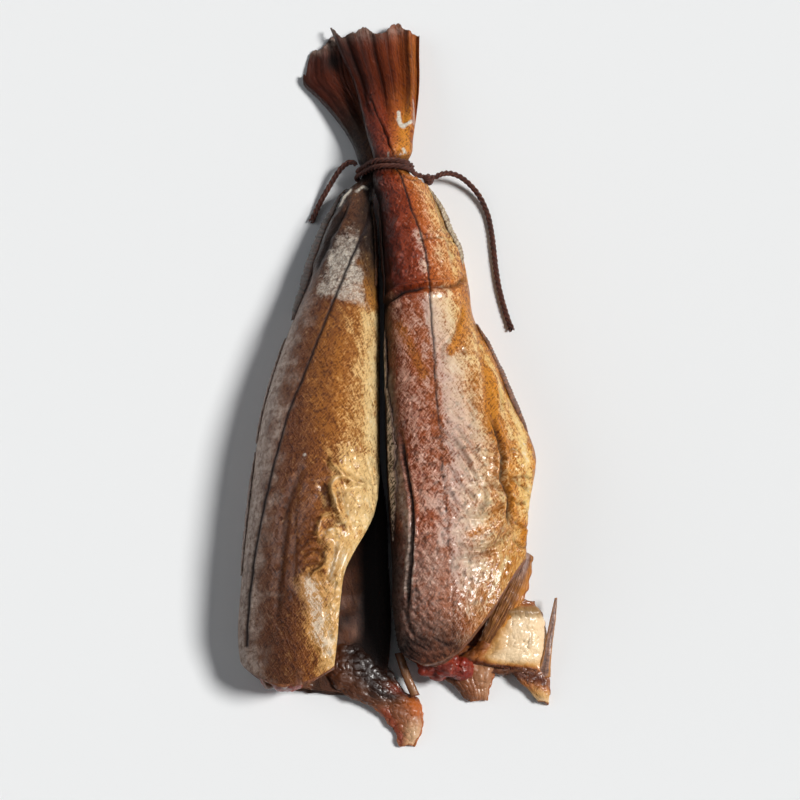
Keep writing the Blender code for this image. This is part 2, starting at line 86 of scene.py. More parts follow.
LEFT_FORM = (
    (-74.0, -46.0, -25.0, -9.0, 0.3, 2.3),
    (-58.0, -46.4, -24.0, -6.0, 0.4, 2.7),
    (-45.0, -46.0, -21.0, -4.0, 0.6, 3.4),
    (-36.0, -38.0, -18.0, -3.0, 1.0, 4.6),
    (-25.0, -29.6, -15.5, -2.6, 1.8, 7.2),
    (-10.0, -21.6, -12.5, -4.0, 3.2, 11.6),
    (-3.0, -19.4, -11.8, -4.6, 3.5, 12.6),
    (1.0, -17.6, -11.8, -5.6, 3.8, 12.6),
    (4.5, -17.4, -12.2, -6.8, 3.8, 12.6),
    (8.0, -18.8, -13.4, -8.8, 3.5, 13.4),
    (12.5, -24.8, -16.8, -11.6, 2.6, 16.2),
    (20.0, -28.6, -20.0, -12.2, 1.4, 19.0),
    (33.0, -34.0, -20.5, -11.0, 0.0, 22.5),
    (45.0, -38.2, -21.5, -10.2, 0.0, 25.2),
    (62.0, -43.0, -23.6, -9.6, 0.0, 28.4),
    (80.0, -49.6, -25.5, -9.0, 0.0, 31.2),
    (104.0, -57.2, -28.0, -9.0, 0.0, 34.2),
    (127.0, -62.6, -30.0, -9.0, 0.0, 36.6),
    (150.0, -65.6, -31.5, -8.8, 0.0, 38.0),
    (175.0, -68.0, -33.0, -8.0, 0.0, 38.0),
    (200.0, -70.0, -34.5, -7.0, 0.0, 36.6),
    (224.0, -71.0, -36.0, -8.6, 0.0, 33.0),
    (245.0, -68.0, -38.0, -13.0, 0.0, 26.0),
)
# across the fan from the back (-1) to the belly (1), how far its tips reach from the tie
RIGHT_TIPS = ((-1.0, -71.6), (-0.86, -66.6), (-0.7, -67.4), (-0.48, -68.4), (-0.2, -71.6),
              (-0.02, -68.0), (0.21, -68.4), (0.42, -73.2), (0.57, -73.2), (0.67, -70.2),
              (0.85, -68.2), (1.0, -66.6))
LEFT_TIPS = ((-1.0, -44.0), (-0.93, -48.5), (-0.87, -50.0), (-0.84, -57.5), (-0.78, -60.8),
             (-0.6, -61.6), (-0.45, -65.6), (-0.3, -69.5), (0.0, -66.0), (0.4, -71.0),
             (1.0, -66.0))
# round the girth, 0 at the upper flap, 1 at the back, 2 at the lower flap: where the cut is
RIGHT_CUT = ((0.0, 183.0), (0.2, 196.0), (0.34, 216.0), (0.46, 231.0), (0.6, 236.0),
             (0.8, 233.0), (1.0, 226.0), (1.25, 231.0), (1.6, 236.0), (2.0, 234.0))
LEFT_CUT = ((0.0, 222.0), (0.3, 232.0), (0.5, 243.0), (0.65, 245.0),
            (0.8, 241.0), (1.0, 233.0), (1.25, 240.0), (1.6, 245.0), (2.0, 243.0))
# from the tie, how far round from the widest line each flap's cut edge has drawn back
RIGHT_UPPER_FLAP = ((132.0, 0.0), (146.0, 0.2), (165.0, 0.3), (236.0, 0.34))
RIGHT_LOWER_FLAP = ((132.0, 0.0), (146.0, 0.22), (165.0, 0.36), (236.0, 0.42))
LEFT_UPPER_FLAP = ((134.0, 0.0), (146.0, 0.12), (158.0, 0.3), (168.0, 0.52), (176.0, 0.76),
                   (183.0, 1.0), (189.0, 1.16), (200.0, 1.23), (215.0, 1.23), (245.0, 1.2))
LEFT_LOWER_FLAP = ((134.0, 0.0), (146.0, 0.2), (165.0, 0.34), (245.0, 0.44))
# from the tie, how far each lower flap reaches out past the widest line
RIGHT_REACH = ((132.0, 0.0), (236.0, 0.0))
LEFT_REACH = ((134.0, 0.0), (150.0, 2.5), (165.0, 4.5), (190.0, 5.5), (214.0, 7.5),
              (245.0, 10.0))

STRING = 2.6                 # diameter of the twisted string
GAP = 0.35
TURNS = 1.5
WRAP_AT = 4.5
WRAP_WIDTH = 4.4
BITE = 0.3
KNOT = (13.2, 7.4, 12.6)
KNOT_LEAD = (10.3, 7.2, 15.2)
# The two loose ends: across, along, height, from where each leaves the tie.
RIGHT_END = ((16.0, 6.4, 11.8), (18.9, 4.4, 10.6), (22.8, 3.2, 8.8), (27.4, 3.9, 6.7),
             (32.6, 7.4, 4.5), (37.2, 13.0, 2.8), (40.3, 19.8, 1.7), (42.2, 28.4, 1.35),
             (43.3, 38.2, 1.35), (44.3, 48.0, 1.35), (45.8, 57.7, 1.35),
             (48.2, 67.4, 1.35), (51.3, 77.5, 1.35))
LEFT_END = ((-20.0, -0.9, 9.2), (-22.8, -2.4, 8.5), (-26.2, -1.0, 7.1), (-29.3, 2.4, 5.6),
            (-32.3, 7.0, 4.1), (-35.3, 12.0, 2.8), (-38.1, 17.2, 1.7),
            (-39.9, 21.5, 1.35), (-41.3, 24.8, 1.35))


class Fish:
    """The tables that shape one fish."""

    def __init__(self, form, tips, cut, upper_flap, lower_flap, reach, depth):
        self.form = np.array(form)
        self.tips = np.array(tips)
        self.cut = np.array(cut)
        self.upper_flap = np.array(upper_flap)
        self.lower_flap = np.array(lower_flap)
        self.reach = np.array(reach)
        self.vent = upper_flap[0][0]
        self.nape = form[-1][0]
        self.depth = depth


RIGHT = Fish(RIGHT_FORM, RIGHT_TIPS, RIGHT_CUT, RIGHT_UPPER_FLAP, RIGHT_LOWER_FLAP,
             RIGHT_REACH, 36.0)
LEFT = Fish(LEFT_FORM, LEFT_TIPS, LEFT_CUT, LEFT_UPPER_FLAP, LEFT_LOWER_FLAP,
            LEFT_REACH, 30.0)


# ---------------------------------------------------------------- curves, noise and places


def curve(table, at, column=1):
    """A column of a table at any place, on a smooth curve through its rows."""
    keys, values = table[:, 0], table[:, column]
    slopes = np.gradient(values, keys)
    i = np.clip(np.searchsorted(keys, at) - 1, 0, len(keys) - 2)
    step = keys[i + 1] - keys[i]
    t = np.clip((at - keys[i]) / step, 0.0, 1.0)
    start = values[i] * (1 + 2 * t) + slopes[i] * step * t
    end = values[i + 1] * (3 - 2 * t) - slopes[i + 1] * step * (1 - t)
    return start * (1 - t) ** 2 + end * t ** 2


def ramp(value, start, end):
    """From 0 at start to 1 at end, with soft ends."""
    t = np.clip((value - start) / (end - start), 0.0, 1.0)
    return t * t * (3 - 2 * t)


def bell(distance, width):
    """1 on a line and falling away beside it."""
    return np.exp(-(distance / width) ** 2)


def within(value, low, high, soft):
    """1 between two places, fading out over a soft margin at each."""
    return ramp(value, low - soft, low + soft) * (1 - ramp(value, high - soft, high + soft))


def place(points):
    """From millimetres at the tie to metres in the model's frame."""
    return (np.asarray(points, dtype=float) * np.array([1.0, -1.0, 1.0]) + TIE) * MM


LEANS = np.random.default_rng(11).normal(size=(256, 3))
LEANS /= np.linalg.norm(LEANS, axis=1, keepdims=True)


def noise(points, size, seed=0):
    """Smooth repeatable lumps of a size in millimetres, about -1 to 1."""
    at = np.asarray(points, dtype=float) / size + seed * 17.31
    cell = np.floor(at).astype(np.int64)
    inside = at - cell
    ease = inside ** 3 * (inside * (inside * 6 - 15) + 10)
    total = np.zeros(at.shape[:-1])
    for corner in itertools.product((0, 1), repeat=3):
        spot = cell + corner
        mixed = spot[..., 0] * 73856093 ^ spot[..., 1] * 19349663 ^ spot[..., 2] * 83492791
        lean = LEANS[(mixed ^ (mixed >> 9)) & 255]
        share = np.prod(np.where(corner, ease, 1 - ease), axis=-1)
        total += share * np.sum(lean * (inside - corner), axis=-1)
    return 1.7 * total


def rough(points, size, octaves=4, seed=0):
    """Noise with finer noise on it."""
    return sum(noise(points, size / 2 ** k, seed + k) / 2 ** k for k in range(octaves)) / 1.6


def ridges(points, size, octaves=3, seed=0):
    """Sharp crests between rounded hollows, 0 to about 1."""
    total = 0.0
    for k in range(octaves):
        total = total + (1 - np.abs(noise(points, size / 2 ** k, seed + k))) ** 3 / 2 ** k
    return total / 1.75


def stretched(points, heading, length, width):
    """Places scaled so that noise of size 1 is long along a heading, in degrees from +X."""
    turn = math.radians(heading)
    along = points[..., 0] * math.cos(turn) + points[..., 1] * math.sin(turn)
    aside = -points[..., 0] * math.sin(turn) + points[..., 1] * math.cos(turn)
    return np.stack([along / length, aside / width, points[..., 2] / width], axis=-1)


def smooth_line(points, spacing):
    """Even points on a smooth curve through a few."""
    points = np.asarray(points, dtype=float)
    steps = np.linalg.norm(np.diff(points, axis=0), axis=1)
    keys = np.concatenate([[0.0], np.cumsum(steps)])
    table = np.column_stack([keys, points])
    fine = np.linspace(0.0, keys[-1], 40 * len(points))
    columns = range(1, points.shape[1] + 1)
    return even_steps(np.stack([curve(table, fine, k) for k in columns], axis=-1), spacing)


def even_steps(route, spacing):
    """Points at even distances along a route of close points."""
    route = np.array(route)
    travelled = np.concatenate([[0.0], np.cumsum(np.linalg.norm(np.diff(route, axis=0), axis=1))])
    stops = np.linspace(0.0, travelled[-1], max(2, round(travelled[-1] / spacing)) + 1)
    return np.stack([np.interp(stops, travelled, route[:, k]) for k in range(route.shape[1])],
                    axis=-1)


def skin(fish, along, angle, folds=0.0):
    """Points of a fish's skin: angle runs from the belly over the top to the back and under."""
    back, ridge, belly, under, top = (curve(fish.form, along, c) for c in range(1, 6))
    fin = ramp(along, FAN_ROOT, FAN_ROOT - FAN_FADE)
    across = np.cos(angle)
    above = np.sin(angle) >= 0
    side = np.where(across > 0, BELLY_ROUND, BACK_ROUND)
    power = np.where(above, side, UNDER_ROUND) * (1 - fin) + FAN_ROUND * fin
    lift = (1 - np.minimum(np.abs(across), 1.0) ** power) ** (1 / power)
    x = ridge + across * np.where(across > 0, belly - ridge, ridge - back)
    lip = np.where(across > 0, across, 0.0) ** 2 * ramp(-np.sin(angle), 0.05, 0.38)
    x = x + curve(fish.reach, along) * lip
    middle = under + WIDEST * (top - under)
    upper = middle + (top - middle) * lift
    lower = np.maximum(middle - (middle - under) * PRESSED * lift, under)
    z = np.where(above, upper, lower) + folds
    return np.stack([x, along + 0 * x, np.maximum(z, 0.0)], axis=-1)


def cut_shift(fish, row, girth):
    """How far the slanting cut at the nape moves a point of a row along the fish."""
    share = np.clip((row - fish.vent) / (fish.nape - fish.vent), 0.0, 1.0) ** 1.4
    return row + share * (curve(fish.cut, girth) - fish.nape)


# ---------------------------------------------------------------- meshes


def normals_of(grid):
    """Outward directions of a grid of points whose columns run from belly to back."""
    down = np.gradient(grid, axis=0)
    over = np.gradient(grid, axis=1)
    normal = np.cross(down, over)
    return normal / np.maximum(np.linalg.norm(normal, axis=-1, keepdims=True), 1e-9)


def make_piece(name, points, faces, finishes, marks=None, finish_of=None):
    """An object on the fish from points in millimetres, with its marks as attributes."""
    mesh = bpy.data.meshes.new(name)
    mesh.from_pydata(place(points).tolist(), [], faces)
    for finish in finishes:
        mesh.materials.append(finish)
    if finish_of is not None:
        mesh.polygons.foreach_set("material_index", finish_of)
    mesh.shade_smooth()
    for mark, values in (marks or {}).items():
        values = np.asarray(values, dtype=np.float32)
        kind = "FLOAT_VECTOR" if values.ndim == 2 else "FLOAT"
        layer = mesh.attributes.new(mark, kind, "POINT")
        layer.data.foreach_set("vector" if values.ndim == 2 else "value", values.ravel())
    piece = bpy.data.objects.new(name, mesh)
    bpy.context.collection.objects.link(piece)
    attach(piece, "root")
    return piece


def quads(numbers):
    """Faces of a grid of vertex numbers."""
    a, b = numbers[:-1, :-1], numbers[:-1, 1:]
    c, d = numbers[1:, 1:], numbers[1:, :-1]
    return np.stack([a, d, c, b], axis=-1).reshape(-1, 4)


def tidy_faces(faces):
    """Faces without repeated corners, and none with fewer than three."""
    kept = []
    for face in faces:
        corners = list(dict.fromkeys(face))
        if len(corners) > 2:
            kept.append(corners)
    return kept


def shell(name, grid, thickness, finish, marks=None, edge=0.35):
    """A closed sheet through a grid of points, thinning to its rim."""
    high, wide = grid.shape[:2]
    normal = normals_of(grid)
    down = np.sin(math.pi * np.linspace(0.0, 1.0, high))[:, None]
    over = np.sin(math.pi * np.linspace(0.0, 1.0, wide))[None, :]
    full = np.minimum(np.clip(down * over, 0, 1) ** edge + 0.25, 1.0)[..., None]
    front = grid + normal * full * thickness / 2
    back = grid - normal * full * thickness / 2
    front[..., 2] = np.maximum(front[..., 2], 0.05)
    back[..., 2] = np.maximum(back[..., 2], 0.05)
    number = np.arange(high * wide).reshape(high, wide)
    faces = [tuple(f) for f in quads(number)]
    faces += [tuple(reversed(f)) for f in (quads(number) + high * wide)]
    rim = [*number[0, :-1], *number[:-1, -1], *number[-1, :0:-1], *number[:0:-1, 0]]
    under = high * wide
    faces += [(a, b, b + under, a + under) for a, b in zip(rim, rim[1:] + rim[:1])]
    doubled = {mark: np.concatenate([v.reshape(high * wide, -1), v.reshape(high * wide, -1)])
               for mark, v in (marks or {}).items()}
    doubled = {mark: v if v.shape[1] == 3 else v[:, 0] for mark, v in doubled.items()}
    points = np.concatenate([front.reshape(-1, 3), back.reshape(-1, 3)])
    return make_piece(name, points, [[int(i) for i in f] for f in faces], [finish],
                      doubled)


# ---------------------------------------------------------------- finishes


class Wire:
    """A socket in a finish, so that shader maths reads as plain arithmetic."""

    def __init__(self, finish, socket):
        self.finish = finish
        self.socket = socket

    def maths(self, operation, first, second=0.0, clamp=False):
        settings = {"operation": operation, "use_clamp": clamp}
        return self.finish.node("Math", settings, {0: first, 1: second})

    def __add__(self, other):
        return self.maths("ADD", self, other)

    def __sub__(self, other):
        return self.maths("SUBTRACT", self, other)

    def __rsub__(self, other):
        return self.maths("SUBTRACT", other, self)

    def __mul__(self, other):
        return self.maths("MULTIPLY", self, other)

    def __truediv__(self, other):
        return self.maths("DIVIDE", self, other)

    def __pow__(self, other):
        return self.maths("POWER", self, other)

    __radd__ = __add__
    __rmul__ = __mul__

    def clamped(self):
        return self.maths("ADD", self, 0.0, clamp=True)

    def sine(self):
        return self.maths("SINE", self)

    def size(self):
        return self.maths("ABSOLUTE", self)

    def least(self, other):
        return self.maths("MINIMUM", self, other)

    def most(self, other):
        return self.maths("MAXIMUM", self, other)


def tint(red, green, blue):
    """A linear colour from display values, 0 to 255."""
    shares = [value / 255 for value in (red, green, blue)]
    linear = [s / 12.92 if s <= 0.04045 else ((s + 0.055) / 1.055) ** 2.4 for s in shares]
    return (*linear, 1.0)


class Finish:
    """A material in the making."""

    def __init__(self, name):
        self.material = bpy.data.materials.new(name)
        self.material.use_nodes = True
        self.tree = self.material.node_tree
        self.tree.nodes.clear()

    def node(self, kind, settings=None, inputs=None, output=0):
        """Any node: its settings first, a ramp's stops among them, then its sockets."""
        made = self.tree.nodes.new("ShaderNode" + kind)
        for setting, value in (settings or {}).items():
            if setting == "stops":
                self.set_stops(made.color_ramp, value)
            else:
                setattr(made, setting, value)
        for socket, value in (inputs or {}).items():
            if isinstance(value, Wire):
                self.tree.links.new(value.socket, made.inputs[socket])
            else:
                made.inputs[socket].default_value = value
        return Wire(self, made.outputs[output]) if len(made.outputs) else made

    def set_stops(self, strip, stops):
        while len(strip.elements) < len(stops):
            strip.elements.new(0.5)
        for element, (at, colour) in zip(strip.elements, stops):
            element.position = at
            element.color = colour

    def mark(self, name, output="Fac"):
        return self.node("Attribute", {"attribute_name": name}, output=output)

    def spread(self, value, stops):
        """Colours along a value from 0 to 1."""
        return self.node("ValToRGB", {"stops": stops}, {"Fac": value})

    def mix(self, share, first, second, way="MIX"):
        settings = {"data_type": "RGBA", "blend_type": way, "clamp_factor": True}
        return self.node("Mix", settings, {0: share, 6: first, 7: second}, output=2)

    def lumps(self, size, detail=3.0, roughness=0.55, at=None, twist=0.0):
        """Noise from 0 to 1 with lumps of a size in millimetres."""
        inputs = {"Scale": 1 / size, "Detail": detail, "Roughness": roughness,
                  "Distortion": twist, "Vector": at}
        return self.node("TexNoise", {}, inputs)

    def cells(self, size, at, feature="F1", output="Distance"):
        return self.node("TexVoronoi", {"feature": feature}, {"Scale": 1 / size, "Vector": at},
                         output=output)

    def band(self, value, low, high):
        """From 0 at low to 1 at high."""
        settings = {"interpolation_type": "SMOOTHSTEP"}
        return self.node("MapRange", settings, {"Value": value, "From Min": low,
                                                "From Max": high})

    def stretch(self, at, scale, turn=0.0):
        turned = self.node("Mapping", {"vector_type": "TEXTURE"},
                           {"Vector": at, "Rotation": (0.0, 0.0, math.radians(turn)),
                            "Scale": scale})
        return turned

    def split(self, at, axis):
        return self.node("SeparateXYZ", {}, {"Vector": at}, output=axis)

    def finish(self, colour, roughness, height, relief, coat=None, constants=None):
        """The shader: varying colour, roughness, coat and relief in mm, and constants."""
        bumped = self.node("Bump", {}, {"Height": height, "Distance": MM, "Strength": relief})
        inputs = {"Base Color": colour, "Roughness": roughness, "Normal": bumped}
        if coat is not None:
            inputs["Coat Weight"] = coat
        shader = self.node("BsdfPrincipled", {}, {**inputs, **(constants or {})})
        self.node("OutputMaterial", {}, {"Surface": shader})
        return self.material


# under the painted sheen of its scales: from the back (0) to the belly (1)
RIGHT_COLOURS = (
    (0.00, tint(40, 14, 6)), (0.08, tint(116, 46, 15)), (0.22, tint(166, 78, 30)),
    (0.44, tint(182, 100, 48)), (0.56, tint(200, 126, 62)), (0.80, tint(212, 134, 36)),
    (0.94, tint(222, 144, 36)), (1.00, tint(136, 66, 20)))
RIGHT_NECK = (
    (0.00, tint(34, 10, 5)), (0.16, tint(112, 34, 10)), (0.42, tint(160, 62, 18)),
    (0.62, tint(200, 104, 30)), (0.85, tint(220, 134, 40)), (1.00, tint(166, 88, 26)))
LEFT_COLOURS = (
    (0.00, tint(124, 98, 82)), (0.12, tint(116, 74, 50)), (0.30, tint(106, 56, 22)),
    (0.50, tint(132, 72, 22)), (0.72, tint(172, 104, 36)), (0.90, tint(204, 140, 62)),
    (1.00, tint(150, 88, 36)))
LEFT_NECK = (
    (0.00, tint(32, 18, 13)), (0.22, tint(60, 33, 18)), (0.50, tint(98, 58, 32)),
    (0.78, tint(54, 36, 26)), (1.00, tint(34, 20, 14)))
TAIL_COLOURS = (
    (0.00, tint(58, 20, 9)), (0.30, tint(92, 34, 12)), (0.60, tint(124, 50, 14)),
    (0.80, tint(150, 70, 18)), (1.00, tint(176, 98, 30)))
# the colours of the painted sheen, which stands in for glare on the scales
RIGHT_PAINTED_SHEEN = (
    (0.00, tint(176, 140, 126)), (0.22, tint(222, 170, 146)), (0.44, tint(226, 192, 176)),
    (0.60, tint(242, 214, 182)), (0.80, tint(246, 218, 160)), (1.00, tint(246, 206, 120)))
LEFT_PAINTED_SHEEN = (
    (0.00, tint(168, 150, 138)), (0.30, tint(150, 108, 70)), (0.56, tint(216, 156, 82)),
    (0.74, tint(250, 208, 138)), (1.00, tint(255, 226, 166)))
SHADE_AND_DIRT = tint(20, 6, 3)


def skin_finish(name, body, neck, glow, gloss):
    """Smoked skin: stained browns and gold, painted sheen and painted highlights on the scales,
    painted shade and some dirt in its wrinkles.
    """
    f = Finish(name)
    at = f.mark("skin_place", "Vector")
    tone, ray, dirt, line = f.mark("tone"), f.mark("ray"), f.mark("dirt"), f.mark("line")
    pale, haze, red, near_tie = f.mark("pale"), f.mark("haze"), f.mark("red"), f.mark("neck")
    bloom, amber = f.mark("bloom"), f.mark("amber")

    patches = f.lumps(9.0, 4.0, 0.6, at)
    flecks = f.lumps(2.6, 4.0, 0.7, at)
    grain = f.lumps(0.8, 3.0, 0.65, at)
    shifted = (tone + (patches - 0.5) * 0.30 + (flecks - 0.5) * 0.14).clamped()
    colour = f.mix(near_tie, f.spread(shifted, body), f.spread(shifted, neck))
    colour = f.mix(amber * (patches * 0.5 + 0.6), colour, tint(224, 144, 34))
    colour = f.mix(ray, colour, f.spread(shifted, TAIL_COLOURS))

    # scales in slanting rows: painted shade in the hollows of their relief, painted sheen and a
    # near-white painted highlight where it stands up or the sheen mark is set
    shine = f.cells(1.0, f.stretch(at, (0.85, 1.4, 1.0), 33.0), output="Color")
    strokes = f.lumps(1.0, 3.0, 0.6, f.stretch(at, (0.55, 2.6, 1.0), 38.0), twist=0.3)
    across = f.lumps(1.0, 3.0, 0.6, f.stretch(at, (0.6, 3.2, 1.0), -36.0), twist=0.3)
    streaks = f.lumps(1.0, 3.0, 0.6, f.stretch(at, (1.7, 10.0, 1.0), -34.0), twist=0.5)
    relief = ((0.5 - strokes) * 0.9 + (0.5 - across) * 0.6 + (grain - 0.5) * 0.6
              + (shine - 0.5) * 0.22) * (1 - ray * 0.8)
    shade = f.band(relief + (streaks - 0.5) * 0.5, 0.04, -0.20) * (0.9 - bloom * 0.7)
    # painted shade: the colour is darkened in the relief's hollows, less under the painted sheen
    colour = f.mix(shade, colour, f.mix(1.0, colour, tint(124, 84, 60), "MULTIPLY"))
    # painted sheen, then a near-white painted highlight, where relief, noise and the sheen mark
    # add up high
    seen = (relief * 1.1 + (flecks - 0.5) * 0.55 + (patches - 0.5) * 0.6
            + (streaks - 0.5) * 0.8 + bloom)
    glint = f.spread(shifted, glow)
    colour = f.mix(f.band(seen, 0.18, 0.68) * 0.92, colour, glint)
    colour = f.mix(f.band(seen, 0.72, 1.1) * 0.6, colour, tint(250, 240, 222))

    # rays of the tail: darker between them
    ribs = f.lumps(1.0, 3.0, 0.6, f.mark("ray_place", "Vector"))
    colour = f.mix(f.band(ribs, 0.60, 0.30) * ray * 0.6, colour, tint(52, 16, 6))
    # painted grey sheen, as reflected at grazing angles
    colour = f.mix(haze * 0.9, colour, f.spread(flecks, ((0.36, tint(118, 90, 74)),
                                                        (0.58, tint(204, 184, 170)))))
    colour = f.mix(f.band(pale + (flecks - 0.5) * 0.9 + relief * 0.5, 0.12, 0.85), colour,
                   f.spread(grain, ((0.3, tint(186, 166, 142)), (0.6, tint(238, 232, 220)))))
    colour = f.mix(red, colour, tint(132, 24, 10))
    colour = f.mix(line, colour, tint(32, 19, 20))
    # painted shade, with some dark specks of real dirt, from the shade-and-dirt mark
    colour = f.mix(dirt, colour, SHADE_AND_DIRT)

    height = relief * 0.9 + flecks * 0.5 + streaks * 0.8 + ribs * ray * 0.5
    roughness = 0.27 + flecks * 0.18 + pale * 0.25 + haze * 0.15 + dirt * 0.4
    coat = ((1 - pale) * (1 - haze * 0.6) * (1 - dirt) * (0.25 + bloom * 0.4 + patches * 0.3)
            * gloss).clamped()
    return f.finish(colour, roughness, height, 0.8, coat,
                    {"Coat Roughness": 0.12, "Specular IOR Level": 0.35, "Metallic": 0.25})


def flesh_finish(name, deep, light, glaze):
    """Cut or bared flesh: flaky strands, redder where it is thin and dried, and darkened by
    painted shade where it lies hidden.
    """
    f = Finish(name)
    at = f.node("TexCoord", output="Object")
    at = f.node("VectorMath", {"operation": "SCALE"}, {0: at, "Scale": 1000.0})
    flakes = f.lumps(3.0, 4.0, 0.6, f.stretch(at, (1.0, 3.2, 1.0), 12.0), twist=0.5)
    bits = f.lumps(0.9, 4.0, 0.65, at)
    colour = f.spread(flakes * 0.7 + bits * 0.3, ((0.30, deep), (0.52, f_between(deep, light)),
                                                  (0.66, light)))
    colour = f.mix(f.mark("red"), colour, tint(150, 20, 6))
    # painted shade inside the belly and on the cut
    colour = f.mix(f.mark("dirt"), colour, SHADE_AND_DIRT)
    height = flakes * 1.2 + bits * 0.6
    return f.finish(colour, 0.28 + bits * 0.25 + f.mark("dirt") * 0.5, height, 0.8,
                    flakes * glaze * (1 - f.mark("dirt")),
                    {"Coat Roughness": 0.1, "Specular IOR Level": 0.35, "Subsurface Weight": 0.12,
                     "Subsurface Scale": 0.002, "Subsurface Radius": (1.0, 0.35, 0.15)})


def f_between(first, second):
    """The colour halfway between two."""
    return tuple((a + b) / 2 for a, b in zip(first, second))


def fin_finish(name, deep, light, rim, soft=0.085):
    """A dried fin: thin rays with darker web between them, and a worn rim."""
    f = Finish(name)
    at = f.mark("skin_place", "Vector")
    rays = f.lumps(1.0, 3.0, 0.6, f.mark("ray_place", "Vector"))
    spots = f.lumps(2.4, 4.0, 0.7, at)
    colour = f.spread((rays * 0.5 + spots * 0.5), ((0.5 - soft, deep), (0.5 + soft, light)))
    colour = f.mix(f.mark("amber"), colour, f.spread(rays, ((0.35, tint(150, 74, 18)),
                                                           (0.6, tint(226, 150, 56)))))
    # painted grey sheen
    colour = f.mix(f.mark("haze"), colour, f.spread(spots, ((0.3, tint(120, 92, 84)),
                                                           (0.6, tint(206, 180, 172)))))
    colour = f.mix(f.band(f.mark("rim") + (spots - 0.5) * 0.5, 0.6, 0.95), colour, rim)
    # painted shade, set only at the root of the right pectoral fin
    colour = f.mix(f.mark("dirt"), colour, SHADE_AND_DIRT)
    height = rays * 0.8 + spots * 0.5
    return f.finish(colour, 0.34 + spots * 0.3, height, 0.7, 0.1 + spots * 0.2,
                    {"Coat Roughness": 0.15, "Specular IOR Level": 0.35})


def collar_finish(name, colours, edge):
    """The collar behind the gills: bone under thin glossy skin, browner at its rims."""
    f = Finish(name)
    at = f.mark("skin_place", "Vector")
    patches = f.lumps(7.0, 4.0, 0.6, at, twist=0.4)
    spots = f.lumps(1.4, 4.0, 0.65, at)
    tone = (f.mark("tone") + (patches - 0.5) * 0.6 + (spots - 0.5) * 0.16).clamped()
    colour = f.spread(tone, colours)
    colour = f.mix(f.band(f.mark("rim") + (patches - 0.5) * 0.3, 0.55, 0.95), colour, edge)
    colour = f.mix(f.mark("amber"), colour, tint(190, 96, 20))
    colour = f.mix(f.mark("red"), colour, tint(150, 30, 10))
    # painted shade in grooves and at hidden edges
    colour = f.mix(f.mark("dirt"), colour, SHADE_AND_DIRT)
    height = patches * 1.2 + spots * 0.7
    return f.finish(colour, 0.26 + spots * 0.26, height, 0.7, 0.1 + patches * 0.5,
                    {"Coat Roughness": 0.1, "Specular IOR Level": 0.35})


def twine_finish(name):
    """Tarred twine: dark red-brown fibres that run with each strand."""
    f = Finish(name)
    fibres = f.lumps(0.35, 3.0, 0.6, f.stretch(f.mark("strand_place", "Vector"),
                                               (1.0, 5.0, 1.0)))
    patches = f.lumps(4.0, 3.0, 0.6, f.mark("strand_place", "Vector"))
    colour = f.spread(fibres * 0.65 + patches * 0.35, ((0.30, tint(18, 6, 5)),
                                                       (0.50, tint(74, 28, 14)),
                                                       (0.70, tint(140, 74, 44))))
    colour = f.mix(f.mark("dirt"), colour, tint(14, 6, 6))
    return f.finish(colour, 0.5 + fibres * 0.3, fibres, 0.8, patches * 0.25,
                    {"Coat Roughness": 0.3})


# ---------------------------------------------------------------- camera and string


def aim(thing, target):
    """Turn a light or the camera to look at a point."""
    thing.rotation_euler = (Vector(target) - thing.location).to_track_quat("-Z", "Y").to_euler()


def add_camera():
    lens = bpy.data.cameras.new("camera")
    lens.lens, lens.sensor_width = 120.0, 36.0
    camera = bpy.data.objects.new("camera", lens)
    bpy.context.collection.objects.link(camera)
    target = Vector((0.0006, -0.0165, 0.014))
    elevation, distance = math.radians(74.0), 1.2
    back = Vector((0.0, -math.cos(elevation), math.sin(elevation)))
    camera.location = target + back * distance
    aim(camera, target)
    bpy.context.scene.camera = camera


STRANDS = 3
STRAND_SHARE = 1 / (1 + 2 / math.sqrt(3))     # a strand's size in a string of three
LAY = 7.5                                     # length of one twist


